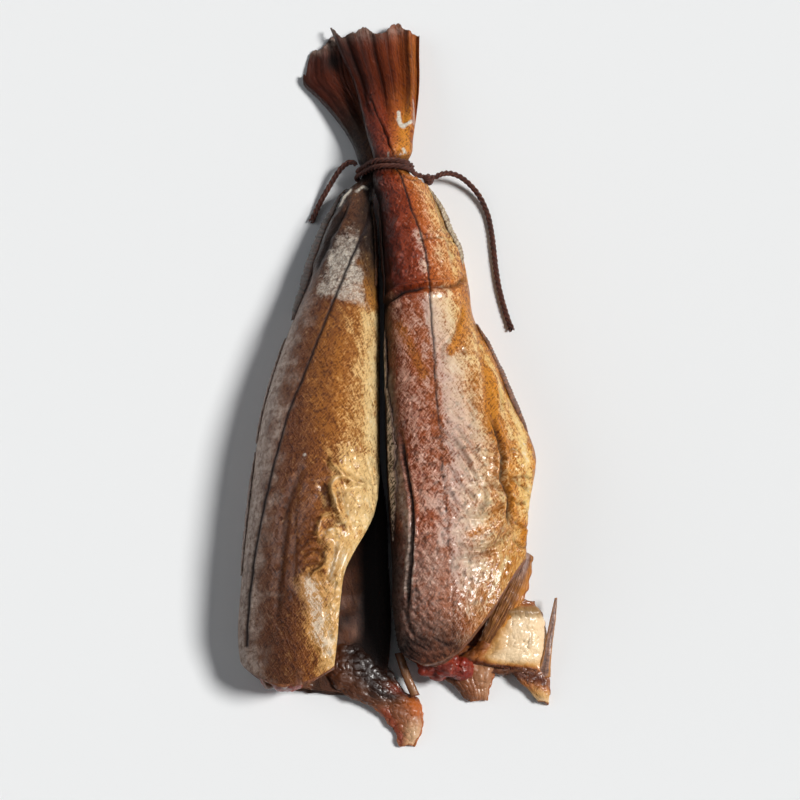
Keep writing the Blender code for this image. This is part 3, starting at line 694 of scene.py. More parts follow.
def twisted(name, route, finish, fray=0.0, twist_from=0.0):
    """A string of three strands laid round each other along a route."""
    line = even_steps(route, 0.42)
    ahead = np.gradient(line, axis=0)
    ahead /= np.linalg.norm(ahead, axis=1, keepdims=True)
    side = np.cross(ahead[0], (0.0, 0.0, 1.0))
    sides = []
    for direction in ahead:
        side = side - direction * np.dot(side, direction)
        side /= np.linalg.norm(side)
        sides.append(side)
    sides = np.array(sides)
    tops = np.cross(ahead, sides)
    travelled = np.arange(len(line)) * 0.42
    radius = STRING / 2 * STRAND_SHARE
    away = STRING / 2 - radius
    turn = FULL_TURN * travelled / LAY + twist_from + 0.5 * noise(
        np.column_stack([travelled, 0 * travelled, 0 * travelled]), 9.0, 5)
    left = np.minimum(travelled, travelled[-1] - travelled)
    round_facets = np.linspace(0.0, FULL_TURN, 11)[:-1]
    points, faces, marks = [], [], []
    for strand in range(STRANDS):
        lean = turn + FULL_TURN * strand / STRANDS
        loose = 1 + fray * np.exp(-((travelled[-1] - travelled) / 3.0) ** 2)
        centre = line + (away * loose)[:, None] * (np.cos(lean)[:, None] * sides
                                                   + np.sin(lean)[:, None] * tops)
        centre[:, 2] = np.maximum(centre[:, 2], radius * 0.9)
        swell = radius * (1.06 + 0.08 * noise(centre, 2.2, 8 + strand))
        swell = swell * np.minimum(1.0, 0.35 + left / 0.9)
        ring = (np.cos(round_facets)[None, :, None] * sides[:, None, :]
                + np.sin(round_facets)[None, :, None] * tops[:, None, :])
        tube = centre[:, None, :] + ring * swell[:, None, None]
        start = len(points) * tube.shape[0] * tube.shape[1]
        number = start + np.arange(tube.shape[0] * tube.shape[1]).reshape(tube.shape[:2])
        closed = np.concatenate([number, number[:, :1]], axis=1)
        faces += quads(closed).tolist()
        faces += [number[0].tolist(), number[-1][::-1].tolist()]
        points.append(tube.reshape(-1, 3))
        around = round_facets[None, :] * radius + 0 * travelled[:, None]
        runs = travelled[:, None] + 0 * around
        marks.append(np.stack([around + strand * 20.0, runs, 0 * runs], axis=-1).reshape(-1, 3))
    points = np.concatenate(points)
    points[:, 2] = np.maximum(points[:, 2], 0.04)
    marks = {"strand_place": np.concatenate(marks), "dirt": np.zeros(len(points))}
    return make_piece(name, points, faces, [finish], marks)


def string_end(name, points, finish, node):
    """One of the two loose ends, cut bare."""
    route = smooth_line(points, 0.8)
    piece = twisted(name, route, finish, fray=0.5)
    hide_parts(node)
    return piece


def wrap_route():
    """The string's turns: pulled tight round both tail roots, side by side."""
    round_angles = np.linspace(0.0, FULL_TURN, 72, endpoint=False)
    stand_off = STRING / 2 + GAP + BITE
    route = []
    steps = int(TURNS * 120)
    for step in range(steps + 1):
        turned = step / steps
        heading = math.pi - turned * TURNS * FULL_TURN
        along = WRAP_AT + WRAP_WIDTH * (turned - 0.5)
        outward = np.array([math.cos(heading), 0.0, math.sin(heading)])
        skins = [skin(fish, np.full(72, along + reach), round_angles)
                 for fish in (RIGHT, LEFT) for reach in (-STRING / 2, 0.0, STRING / 2)]
        candidates = np.concatenate(skins)
        touched = candidates[np.argmax(candidates @ outward)]
        route.append((touched[0] + stand_off * outward[0], along,
                      max(touched[2] + stand_off * outward[2], stand_off)))
    route.append(KNOT_LEAD)
    return even_steps(route, 1.3 * STRING)


def tie_knot(finish):
    """The knot: from the last turn, two tight loops, and out to where the long end starts."""
    route = [np.array(KNOT_LEAD)]
    for step in range(61):
        t = step / 60 * FULL_TURN * 1.5
        loop = np.array([1.35 * math.cos(t), 1.7 * math.sin(t) * 0.9,
                         1.9 * math.sin(t * 0.66 + 0.5)])
        route.append(np.array(KNOT) + loop)
    route.append(np.array(RIGHT_END[0]))
    piece = twisted("knot", even_steps(route, 0.6), finish)
    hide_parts("string_knot")


def add_string(finish):
    string_end("loose_end_right", RIGHT_END, finish, "string_end_right")
    string_end("loose_end_left", LEFT_END, finish, "string_end_left")
    wrap = twisted("turns_round_the_tails", smooth_line(wrap_route(), 0.8), finish)
    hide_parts("string_wrap")
    tie_knot(finish)


# ---------------------------------------------------------------- a fish's skin

TOP_COLUMNS = 140
UNDER_COLUMNS = 26
FAN_GRID_ROWS = 76
BODY_GRID_ROWS = 462
CAVITY_COLUMNS = 26
CUT_ROWS = 12
STAINS_AND_LIGHT = ("dirt", "line", "pale", "haze", "red", "neck", "bloom", "amber")


class Hide:
    """The skin of one fish as a grid, with the heights of its wrinkles, its stains and its
    painted light.
    """

    def __init__(self, fish):
        self.fish = fish
        upper_share = np.linspace(0.0, 1.0, TOP_COLUMNS + 1)
        under_share = np.linspace(0.0, 1.0, UNDER_COLUMNS + 1)[1:]
        angles, alongs, rows = [], [], []
        whole = np.concatenate([math.pi * upper_share, math.pi * (1 + under_share)])
        for reach in np.linspace(1.0, 0.0, FAN_GRID_ROWS, endpoint=False):
            tips = curve(fish.tips, np.cos(whole)) + self.notches(whole)
            angles.append(whole)
            alongs.append(FAN_ROOT + reach * (tips - FAN_ROOT))
            rows.append(FAN_ROOT)
        body = np.linspace(FAN_ROOT, fish.nape, BODY_GRID_ROWS)
        body[np.argmin(np.abs(body - fish.vent))] = fish.vent
        for row in body:
            upper = curve(fish.upper_flap, cut_shift(fish, row, 0.0))
            lower = curve(fish.lower_flap, cut_shift(fish, row, 2.0))
            angle = np.concatenate([upper + (math.pi - upper) * upper_share,
                                    math.pi + (math.pi - lower) * under_share])
            angles.append(angle)
            alongs.append(cut_shift(fish, row, angle / math.pi))
            rows.append(row)
        self.angle, self.rows = np.array(angles), np.array(rows)
        along = np.array(alongs)
        self.across = np.cos(self.angle)
        self.fan = ramp(along, FAN_ROOT - 6.0, FAN_ROOT - 34.0)
        self.top = np.sin(self.angle) > -0.02
        self.points = skin(fish, along, self.angle, self.pleats(along))
        self.thin_fan(along)
        self.x, self.d = self.points[..., 0], self.points[..., 1]
        self.upward = ramp(np.sin(self.angle), 0.02, 0.34)
        self.height = np.zeros(self.angle.shape)
        self.stain_and_light = {stain_and_light: np.zeros(self.angle.shape) for stain_and_light in STAINS_AND_LIGHT}
        back, belly = curve(fish.form, self.d, 1), curve(fish.form, self.d, 3)
        self.tone = np.clip((self.x - back) / (belly - back), 0.0, 1.0)
        self.wandered = np.stack([
            self.x + 0.55 * noise(self.points, 5.0, 21),
            self.d + 0.55 * noise(self.points, 5.0, 22)], axis=-1)

    def notches(self, angle):
        """Worn nicks between the rays at the tail's edge."""
        across = np.cos(angle)
        spots = np.stack([across * 9.0, 0 * across, 0 * across], axis=-1)
        fine = np.stack([across * 30.0, 0 * across, 0 * across], axis=-1)
        return (2.2 * np.maximum(0, noise(spots, 1.0, 3) - 0.15)
                + 1.1 * np.maximum(0, noise(fine, 1.0, 4)))

    def pleats(self, along):
        """The tail's long folds, deeper towards its tips."""
        lean = np.arccos(np.clip(np.cos(self.angle), -1.0, 1.0))
        return 1.1 * ramp(along, FAN_ROOT, FAN_ROOT - FAN_FADE) * np.cos(9 * lean)

    def thin_fan(self, along):
        """Bring the two faces of the tail together towards its tips."""
        middle = curve(self.fish.form, along, 4) * 0.5 + curve(self.fish.form, along, 5) * 0.5
        share = 0.45 * ramp(along, FAN_ROOT - 20.0, FAN_ROOT - 60.0)
        fold = self.pleats(along)
        z = self.points[..., 2]
        self.points[..., 2] = np.maximum(z + (middle + fold - z) * share, 0.25)

    def near(self, path, reach, wander=1.0):
        """Distances from a path, signed sideways distances, and shares of the way along."""
        line = smooth_line(path, max(0.8, reach * 0.35))
        low, high = line.min(axis=0) - reach * 3.2, line.max(axis=0) + reach * 3.2
        here = ((self.x > low[0]) & (self.x < high[0]) & (self.d > low[1])
                & (self.d < high[1]) & self.top)
        plain = np.stack([self.x, self.d], axis=-1)[here]
        spots = plain + (self.wandered[here] - plain) * wander
        nearest = np.full(len(spots), 1e9)
        side, share = np.zeros(len(spots)), np.zeros(len(spots))
        for k, (a, b) in enumerate(zip(line[:-1], line[1:])):
            run = b - a
            t = np.clip((spots - a) @ run / (run @ run), 0.0, 1.0)
            gap = spots - a - t[:, None] * run
            distance = np.linalg.norm(gap, axis=1)
            better = distance < nearest
            nearest[better] = distance[better]
            side[better] = np.sign(run[0] * gap[:, 1] - run[1] * gap[:, 0])[better]
            share[better] = ((k + t) / (len(line) - 1))[better]
        return here, nearest, side * nearest, share

    def crease(self, path, depth, width, lip=0.4, dirt=0.8, ends=0.18, wander=1.0):
        """A sharp valley between two raised lips, with painted shade at its bottom."""
        here, distance, _, share = self.near(path, width, wander)
        full = np.minimum(1, np.minimum(share, 1 - share) / ends + 0.12) if ends else 1.0
        valley = bell(distance, width)
        lips = bell(distance - 2.1 * width, 1.1 * width)
        self.height[here] += full * depth * (lip * lips - valley) * self.upward[here]
        stain_and_light = self.stain_and_light["dirt"]
        stain_and_light[here] = np.maximum(stain_and_light[here], dirt * full * bell(distance, 0.8 * width))

    def fold(self, path, height, width, steep=0.55, ends=0.2, pale=0.0, wander=1.0):
        """A raised fold, steeper on the side to the right of its path; a pale crest, where pale
        is above 0, is a painted highlight.
        """
        here, distance, sideways, share = self.near(path, width, wander)
        full = np.minimum(1, np.minimum(share, 1 - share) / ends + 0.1)
        wide = np.where(sideways > 0, width, width * steep)
        self.height[here] += full * height * bell(distance, wide) * self.upward[here]
        stain_and_light = self.stain_and_light["pale"]
        stain_and_light[here] = np.maximum(stain_and_light[here], pale * full * bell(distance, 0.7 * wide))

    def mark_line(self, stain_and_light, path, width, strength, spread=0.0, wander=1.0):
        """A stain or painted light along a path, blotchy if spread is above 0."""
        here, distance, _, share = self.near(path, width, wander)
        value = strength * bell(distance, width)
        if spread:
            value = value * np.clip(1 + spread * noise(self.points[here], 4.0, 31), 0, 1.6)
        layer = self.stain_and_light[stain_and_light]
        layer[here] = np.maximum(layer[here], np.clip(value, 0, 1))

    def spot(self, centre, size, depth=0.0, stain_and_light=None, strength=0.0):
        """A round dimple or bump, and its stain or painted shade."""
        distance = np.hypot(self.wandered[..., 0] - centre[0], self.wandered[..., 1] - centre[1])
        bump = bell(distance, size) * self.top
        self.height -= depth * bump
        if stain_and_light:
            self.stain_and_light[stain_and_light] = np.maximum(self.stain_and_light[stain_and_light], strength * bump)

    def wrinkle(self, where, heading, length, width, height, seed, kind=rough):
        """Wrinkles that run along a heading over part of the skin."""
        spots = stretched(self.points, heading, length, width)
        self.height += where * height * self.upward * kind(spots, 1.0, 3, seed)

    def region(self, low, high, soft, near_back=0.0, near_belly=1.0, edge=0.08):
        """1 over a stretch of the fish and a share of its width."""
        return (within(self.d, low, high, soft)
                * within(self.tone, near_back - edge, near_belly + edge, edge))

    def raised(self):
        """The points with their heights on."""
        normal = normals_of(self.points)
        at_edge = ramp(self.rows, self.fish.vent - 4.0, self.fish.vent + 6.0)[:, None]
        columns = np.arange(self.angle.shape[1])[None, :]
        from_edge = np.minimum(columns, self.angle.shape[1] - 1 - columns)
        settle = 1 - at_edge * (1 - ramp(from_edge, 0.0, 5.0)) * 0.7
        points = self.points + normal * (self.height * settle)[..., None]
        points[..., 2] = np.maximum(points[..., 2], 0.03)
        return points

    def places(self):
        """Distances over the skin: sideways from the ridge, and along."""
        steps = np.linalg.norm(np.diff(self.points, axis=1), axis=-1)
        sideways = np.concatenate([np.zeros((len(steps), 1)), np.cumsum(steps, axis=1)], axis=1)
        ridge = np.array([np.interp(math.pi / 2, a, s) for a, s in zip(self.angle, sideways)])
        return np.stack([ridge[:, None] - sideways, self.d, 0 * self.d], axis=-1)

    def ray_places(self):
        """Places in which the tail's rays run straight."""
        return np.stack([self.across * 34.0, self.d / 16.0, 0 * self.d], axis=-1)


def cavity_row(fish, row, ring, opened, t):
    """The inside of the belly in one ring, from the lower flap's edge to the upper's."""
    low, high = ring[-1], ring[0]
    wall = np.array([3.4, 4.6]) * opened
    x = low[0] + t * (high[0] - low[0]) - fish.depth * opened * np.sin(math.pi * t) ** 0.8
    z = low[2] + wall[0] + t * (high[2] - wall[1] - low[2] - wall[0])
    z = z - 0.5 * CAVITY_BULGE * opened * np.sin(2 * math.pi * t)
    ridge, belly = curve(fish.form, row, 2), curve(fish.form, row, 3)
    turn = np.arccos(np.clip((x - ridge) / (belly - ridge), -1.0, 1.0)) / math.pi
    along = cut_shift(fish, row, np.where(t < 0.5, 2 - turn, turn))
    along[0], along[-1] = low[1], high[1]
    return np.stack([x, along, z], axis=-1)


def fish_body(name, node, hide, finishes, dark):
    """Skin, belly and cut nape in one mesh; the belly and nape take the second finish."""
    fish, points = hide.fish, hide.raised()
    high, wide = hide.angle.shape
    number = np.arange(high * wide).reshape(high, wide)
    closed = hide.rows <= fish.vent
    number[closed, -1] = number[closed, 0]
    faces = quads(number).tolist()
    # the tail's tips: zip the upper face's edge to the under face's
    for k in range(TOP_COLUMNS):
        below = wide - 1 - round(k * UNDER_COLUMNS / TOP_COLUMNS)
        after = wide - 1 - round((k + 1) * UNDER_COLUMNS / TOP_COLUMNS)
        faces.append([int(number[0, k]), int(number[0, k + 1]), int(number[0, after]),
                      int(number[0, below])])
    skin_faces = len(tidy_faces(faces))
    places = [points.reshape(-1, 3)]
    total = high * wide
    share = np.linspace(0.0, 1.0, CAVITY_COLUMNS + 1)
    open_rows = np.flatnonzero(~closed)
    before = np.full(CAVITY_COLUMNS + 1, number[open_rows[0] - 1, 0])
    inner = None
    for r in open_rows:
        opened = ramp(hide.rows[r], fish.vent, fish.vent + 26.0)
        row = cavity_row(fish, hide.rows[r], points[r], opened, share)
        lump = rough(row, 7.0, 3, 41)[:, None] * np.sin(math.pi * share)[:, None]
        row = row + np.array([-0.5, 0.0, 0.8]) * lump
        ids = np.concatenate([[number[r, -1]], total + np.arange(CAVITY_COLUMNS - 1),
                              [number[r, 0]]])
        total += CAVITY_COLUMNS - 1
        places.append(row[1:-1])
        faces += quads(np.array([before, ids])).tolist()
        before, inner = ids, row
    # the cut nape: from the skin's edge in to the belly's edge
    outer = points[-1]
    matched = np.linspace(CAVITY_COLUMNS, 0, wide)
    hollow = np.stack([np.interp(matched, np.arange(CAVITY_COLUMNS + 1), inner[:, k])
                       for k in range(3)], axis=-1)
    last = number[-1]
    for step in range(1, CUT_ROWS + 1):
        t = step / CUT_ROWS
        row = outer + (hollow - outer) * t
        bulge = math.sin(math.pi * t) ** 0.6
        row[:, 1] += bulge * (1.6 + 1.5 * rough(row, 5.0, 3, 43)) - 1.0 * bulge ** 4
        row[:, 2] += 0.8 * bulge * rough(row, 3.5, 2, 44)
        row[:, 2] = np.maximum(row[:, 2], 0.05)
        ids = total + np.arange(wide)
        total += wide
        places.append(row)
        faces += quads(np.array([last, ids])).tolist()
        last = ids
    faces = tidy_faces(faces)
    count = total - high * wide
    marks = {"skin_place": hide.places().reshape(-1, 3), "tone": hide.tone.ravel(),
             "ray": hide.fan.ravel(), "ray_place": hide.ray_places().reshape(-1, 3)}
    marks.update({stain_and_light: values.ravel() for stain_and_light, values in hide.stain_and_light.items()})
    for mark, values in marks.items():
        extra = np.zeros((count, *values.shape[1:]))
        marks[mark] = np.concatenate([values, extra])
    # painted shade inside the belly and on the cut: darker at random, plus each fish's own
    # darkening from dark
    inside = np.concatenate(places[1:])
    marks["dirt"][-count:] = np.clip(0.3 + 0.4 * noise(inside, 8.0, 45)
                                     + dark(inside), 0.0, 1.0)
    finish_of = (np.arange(len(faces)) >= skin_faces).astype(np.int32)
    piece = make_piece(name, np.concatenate(places), faces, finishes, marks, finish_of)
    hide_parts(node)
    return piece


# ---------------------------------------------------------------- the right fish's wrinkles


def tail_rays(hide, strength):
    """The tail's rays, and a few deep pleats between them."""
    across, fan = hide.across, hide.fan
    rays = np.stack([across * 21.0, hide.d / 30.0, 0 * across], axis=-1)
    hide.height += strength * fan * 0.16 * np.cos(FULL_TURN * (across * 30.0
                                                              + 0.5 * noise(rays, 4.0, 51)))
    hide.height += strength * fan * 0.35 * noise(rays, 1.6, 52)


def pleat(hide, across, depth, width, start=-18.0, dirt=0.5):
    """One deep fold of the tail, from its root to its tips."""
    grows = ramp(hide.d, start, start - 34.0)
    valley = bell(hide.across - across, width) * grows
    crest = bell(hide.across - across - 2.2 * width, width * 1.3) * grows
    on_top = hide.top * 1.0
    hide.height += depth * (0.8 * crest - valley) * np.where(hide.top, 1.0, -0.6)
    # painted shade in the pleat's valley
    hide.stain_and_light["dirt"] = np.maximum(hide.stain_and_light["dirt"], dirt * valley * on_top)


RIGHT_SIDE_LINE = ((-3.7, 2.3), (-0.5, 9.9), (3.2, 22.0), (6.6, 33.1), (9.7, 43.1),
                   (12.1, 54.7), (13.4, 68.3), (14.0, 83.0), (15.0, 97.5), (15.7, 111.7),
                   (16.7, 125.7), (18.0, 139.5), (18.8, 153.2), (20.0, 166.6), (20.8, 180.0),
                   (22.0, 193.1), (22.6, 210.3), (22.5, 226.8))


def wrinkle_right(hide):
    tail_rays(hide, 1.0)
    for across, depth, width, dirt in ((-0.72, 0.5, 0.07, 0.35), (-0.42, 0.5, 0.05, 0.45),
                                       (-0.12, 0.6, 0.06, 0.4), (0.22, 0.7, 0.04, 0.5),
                                       (0.66, 0.4, 0.05, 0.2)):
        pleat(hide, across, depth, width, dirt=dirt)
    hide.crease(((-14.6, -33.5), (-10.9, -23.8), (-7.4, -13.2), (-3.0, 1.5)), 0.9, 0.55, 0.5, 1.0)
    hide.crease(((-14.4, -33.0), (-11.8, -35.4)), 0.5, 0.5, 0.5, 0.6, ends=0)
    hide.wrinkle(hide.region(-30.0, 4.0, 6.0), 62.0, 4.0, 1.6, 0.28, 61, ridges)
    # torn skin near the tie shows white under it
    for path, width in ((((-0.8, -24.0), (-0.5, -20.6), (0.0, -18.4)), 0.75),
                        (((-0.4, -19.6), (0.6, -16.9), (1.8, -16.6)), 1.15),
                        (((0.8, -17.0), (3.0, -17.4), (5.2, -19.5)), 0.65)):
        hide.mark_line("pale", path, width, 1.5, 0.5)
        hide.fold(path, 0.4, 0.9)
    hide.mark_line("red", ((6.4, -32.0), (6.4, -22.0), (5.2, -14.0), (5.8, -7.0)), 1.1, 0.4, 1.0)
    hide.mark_line("pale", ((6.0, -31.0), (6.3, -24.0), (6.6, -15.0)), 0.35, 0.7, 0.9)
    hide.mark_line("pale", ((1.6, -3.6), (2.2, -2.2)), 0.7, 0.9, 0.4)
    hide.mark_line("pale", ((-5.6, -1.0), (-5.0, 1.6)), 0.5, 0.8, 0.4)
    hide.mark_line("amber", ((3.0, -20.0), (2.6, -10.0), (1.6, -1.0)), 3.0, 0.95, 0.4)

    # the neck: tight, glossy, pulled into lumps by the string
    neck = within(hide.d, 3.0, 64.0, 7.0)
    hide.wrinkle(neck, 84.0, 9.0, 4.0, 0.75, 62)
    hide.wrinkle(neck * (1 - ramp(hide.tone, 0.5, 0.8)), 70.0, 4.5, 2.4, 0.55, 63, ridges)
    hide.wrinkle(within(hide.d, 0.0, 16.0, 4.0), 80.0, 10.0, 1.8, 0.8, 64, ridges)
    hide.crease(((1.5, 12.0), (4.4, 13.2), (8.4, 12.4)), 0.5, 0.7, 0.8, 0.5)
    for spot in ((-3.8, 27.8), (-1.5, 35.2), (1.2, 41.1), (-1.5, 50.5), (1.6, 58.3), (-4.8, 61.0),
                 (4.4, 22.6), (6.2, 50.0), (-4.4, 43.0)):
        hide.spot(spot, 1.9, -0.75)
    hide.crease(((5.9, 44.4), (12.6, 42.9), (19.0, 41.1), (26.5, 41.5)), 0.6, 0.8, 0.5, 0.45)
    hide.crease(((14.6, 17.0), (19.4, 30.0), (22.6, 44.0), (24.0, 56.0)), 0.7, 1.6, 0.5, 0.25)

    # where the tight neck meets the body the skin has folded right across
    hide.crease(((-7.5, 73.5), (-4.6, 70.8), (0.0, 69.2), (5.4, 67.9), (13.4, 66.9)),
                1.5, 1.25, 0.55, 1.0)
    hide.crease(((11.0, 67.0), (17.6, 66.4), (23.5, 64.8), (31.5, 57.0)), 1.1, 1.1, 0.6, 0.7)
    hide.fold(((-5.5, 67.0), (0.0, 65.6), (7.0, 64.8), (15.0, 64.0), (22.0, 62.0)), 0.9, 1.5)
    hide.fold(((-4.0, 74.6), (2.0, 72.4), (9.0, 70.8), (17.0, 70.0), (26.0, 68.8)), 0.6, 1.7)

    # the body
    body = within(hide.d, 74.0, 232.0, 8.0)
    hide.wrinkle(body, 90.0, 42.0, 17.0, 0.75, 65)
    hide.wrinkle(body * (1 - ramp(hide.tone, 0.30, 0.42)), 118.0, 7.0, 2.2, 0.52, 66, ridges)
    hide.fold(((27.8, 75.8), (24.7, 87.0), (20.9, 94.0)), 0.4, 1.1)
    hide.crease(((28.4, 72.0), (26.9, 82.0), (22.6, 91.0), (18.4, 97.4), (19.9, 102.4),
                 (23.4, 101.6)), 0.55, 0.85, 0.7, 0.3)
    # dimples with painted shade in them
    hide.spot((28.0, 97.5), 1.3, 0.9, "dirt", 0.55)
    hide.spot((21.2, 99.6), 1.0, 0.7, "dirt", 0.4)
    hide.crease(((36.0, 84.0), (37.0, 96.0), (38.4, 108.0), (39.4, 120.0), (39.4, 130.0)),
                0.9, 2.4, 0.35, 0.10)
    hide.crease(((31.4, 104.0), (31.2, 117.0), (31.4, 130.0), (32.6, 142.0)),
                0.6, 1.7, 0.4, 0.08)
    hide.crease(((44.6, 112.0), (45.4, 118.0), (44.6, 124.0)), 0.5, 0.8, 0.6, 0.3)
    belly_fold = ((38.9, 126.0), (41.9, 133.5), (44.4, 142.6), (44.8, 151.7), (44.3, 157.1),
                  (46.5, 161.3), (47.3, 167.0), (47.3, 172.8), (48.4, 177.6))
    hide.crease(belly_fold, 2.0, 1.05, 0.75, 0.95, ends=0.12)
    for path, depth in ((((44.6, 152.6), (50.6, 156.2), (57.5, 159.8)), 0.9),
                        (((45.6, 159.0), (49.6, 155.0), (54.0, 153.4), (58.8, 153.0)), 0.7),
                        (((48.6, 173.6), (52.7, 175.4), (58.2, 174.4)), 0.9),
                        (((47.2, 143.0), (50.0, 141.4), (53.4, 142.6)), 0.5),
                        (((47.0, 163.4), (51.0, 165.6), (56.0, 164.0)), 0.5),
                        (((49.0, 181.0), (53.0, 184.6), (56.6, 184.0)), 0.6),
                        (((44.8, 176.0), (43.0, 181.0), (40.0, 186.0)), 0.7)):
        hide.crease(path, depth, 0.75, 0.7, 0.5)
    roll = ramp(hide.x, 45.0, 49.0) * within(hide.d, 132.0, 192.0, 8.0)
    hide.wrinkle(roll, 20.0, 5.0, 2.6, 0.75, 67)
    slack = within(hide.d, 128.0, 190.0, 12.0) * ramp(hide.tone, 0.33, 0.42)
    hide.wrinkle(slack, 57.0, 11.0, 2.7, 0.92, 68, ridges)
    hide.wrinkle(slack, 62.0, 5.0, 3.0, 0.6, 69)
    for path in (((18.0, 134.0), (24.1, 141.7), (29.3, 149.3), (34.1, 159.4)),
                 ((20.1, 149.5), (25.3, 157.6), (30.5, 164.1), (34.0, 168.4)),
                 ((21.9, 137.0), (27.6, 144.8), (33.0, 156.3)),
                 ((23.6, 132.0), (30.6, 142.0), (35.6, 150.0)),
                 ((19.4, 160.0), (24.0, 167.0), (29.0, 171.6))):
        hide.crease(path, 0.7, 0.75, 0.9, 0.45)
    for path in (((26.1, 171.9), (34.0, 173.3), (41.5, 170.0), (46.0, 164.9)),
                 ((22.5, 186.5), (30.4, 187.6), (39.1, 186.1), (43.6, 183.1), (49.0, 175.4)),
                 ((22.5, 193.1), (32.5, 191.0), (41.3, 189.0)),
                 ((35.8, 159.0), (36.9, 165.9), (34.0, 171.5)),
                 ((37.0, 158.6), (42.2, 160.6), (45.6, 162.0))):
        hide.crease(path, 0.75, 0.9, 0.8, 0.4)
    low = within(hide.d, 150.0, 232.0, 14.0)
    hide.wrinkle(low, 12.0, 3.6, 2.2, 0.62, 70, ridges)
    hide.wrinkle(low, 90.0, 6.0, 4.0, 0.35, 71)
    near_cut = within(hide.d, 203.0, 240.0, 10.0) * (1 - ramp(hide.tone, 0.42, 0.62))
    hide.wrinkle(near_cut, 32.0, 12.0, 1.9, 1.15, 72, ridges)
    hide.crease(((0.4, 133.5), (3.1, 152.1), (5.4, 165.9), (5.9, 179.2), (5.0, 192.1),
                 (4.3, 209.1), (4.6, 223.0)), 1.3, 0.75, 0.5, 1.0, wander=0.4)
    # a fold with a painted highlight along its crest
    hide.fold(((7.1, 168.0), (7.4, 179.2), (6.7, 192.1), (5.9, 209.0)), 0.5, 0.5, pale=0.5)
    hide.crease(((2.0, 204.0), (3.2, 214.0), (6.6, 224.0), (13.0, 230.0)), 0.6, 0.7, 0.6, 0.5)

    # the line along the side, broken into spots where the skin is loose
    hide.crease(RIGHT_SIDE_LINE, 0.42, 0.5, 0.4, 0.0, ends=0)
    whole = 1 - 0.65 * ramp(hide.d, 118.0, 150.0) * (noise(hide.points, 3.4, 33) < 0.12)
    hide.mark_line("line", RIGHT_SIDE_LINE, 0.5, 1.0)
    hide.stain_and_light["line"] *= whole * (1 - 0.75 * ramp(hide.d, 186.0, 204.0))

    # painted sheen where the skin would catch the light, and amber where the skin is thin over
    # fat
    beside = ramp(hide.tone, 0.04, 0.16) * (1 - ramp(hide.tone, 0.95, 1.0))
    past_line = ramp(hide.tone, 0.40, 0.45) * (1 - ramp(hide.tone, 0.56, 0.72))
    # painted sheen beside the back, past the side line and on the neck
    hide.stain_and_light["bloom"] = within(hide.d, 71.0, 232.0, 3.0) * (
        0.30 * beside + 0.30 * past_line + 0.16 * noise(hide.points, 14.0, 37)).clip(0, 1)
    hide.stain_and_light["bloom"] = np.maximum(hide.stain_and_light["bloom"], 0.34 * within(
        hide.d, 12.0, 64.0, 6.0) * ramp(hide.tone, 0.5, 0.7))
    # painted sheen in streaks and patches where the light catches the skin
    for path, width, strength in (
            (((21.1, 70.5), (21.4, 82.5), (20.9, 94.8), (22.1, 109.1), (25.5, 123.1)), 5.5, 0.62),
            (((16.5, 73.1), (18.2, 87.7), (19.5, 106.9), (21.1, 121.0)), 4.0, 0.56),
            (((-1.8, 71.7), (0.9, 86.9), (3.5, 106.3), (6.2, 125.3), (7.9, 143.8),
              (10.5, 166.5), (12.2, 179.8)), 4.5, 0.40),
            (((8.9, 73.2), (10.6, 97.4), (11.5, 121.0), (12.3, 144.0), (13.9, 166.6)), 3.2, 0.36),
            (((33.1, 87.6), (35.2, 100.2), (36.3, 114.9), (37.0, 128.3)), 1.7, 0.56),
            (((43.1, 116.1), (44.8, 123.3), (46.9, 130.3), (49.5, 137.2)), 2.8, 0.56),
            (((22.8, 134.8), (27.1, 146.2), (32.3, 157.2), (36.6, 170.4), (34.8, 183.8)),
             7.0, 0.55),
            (((13.1, 165.2), (17.4, 173.3), (19.1, 184.4)), 5.0, 0.58),
            (((12.1, 192.9), (14.7, 210.2), (16.4, 222.7)), 8.0, 0.30),
            (((25.1, 193.0), (29.4, 205.8), (26.8, 218.6)), 6.0, 0.34),
            (((28.5, 205.0), (29.4, 210.0)), 2.6, 0.75),
            (((25.5, 221.5), (26.4, 224.5)), 2.0, 0.66),
            (((46.6, 190.6), (40.8, 203.0), (34.6, 216.2), (28.5, 226.7)), 2.0, 0.56),
            (((51.6, 141.5), (52.8, 154.9), (52.8, 164.7), (51.3, 176.6)), 4.0, 0.42),
            (((15.6, 13.5), (19.2, 26.1), (22.7, 41.4), (24.8, 56.5)), 3.4, 0.46),
            (((7.2, 40.1), (10.3, 52.9), (10.8, 58.6)), 2.6, 0.40)):
        hide.mark_line("bloom", path, width, strength, 0.35)
    for path, width, strength in (
            (((39.0, 81.2), (39.8, 98.8), (40.4, 114.2), (40.6, 128.9), (42.7, 135.3)), 2.6, 1.0),
            (((30.3, 69.3), (27.7, 85.4), (22.6, 98.1)), 1.6, 0.7),
            (((31.7, 67.9), (38.5, 83.7), (45.1, 100.5), (50.1, 115.7), (54.2, 130.9),
              (57.1, 145.0), (57.0, 162.6), (55.4, 180.8)), 2.4, 0.8),
            (((18.4, 6.1), (25.3, 21.0), (29.3, 37.5), (30.4, 58.5)), 2.6, 0.9),
            (((0.0, 84.3), (5.3, 97.1), (10.6, 109.3)), 2.2, 0.4),
            (((30.4, 181.9), (36.6, 178.4), (41.0, 170.9)), 2.0, 0.5),
            (((47.6, 150.0), (48.6, 160.0), (49.6, 172.0)), 1.6, 0.8)):
        hide.mark_line("amber", path, width, strength, 0.4)
        hide.stain_and_light["bloom"] *= 1 - 0.6 * hide.stain_and_light["amber"]

    hide.stain_and_light["bloom"] *= 1 - 0.5 * ramp(hide.d, 192.0, 214.0) * (1 - ramp(hide.tone, 0.6, 0.8))
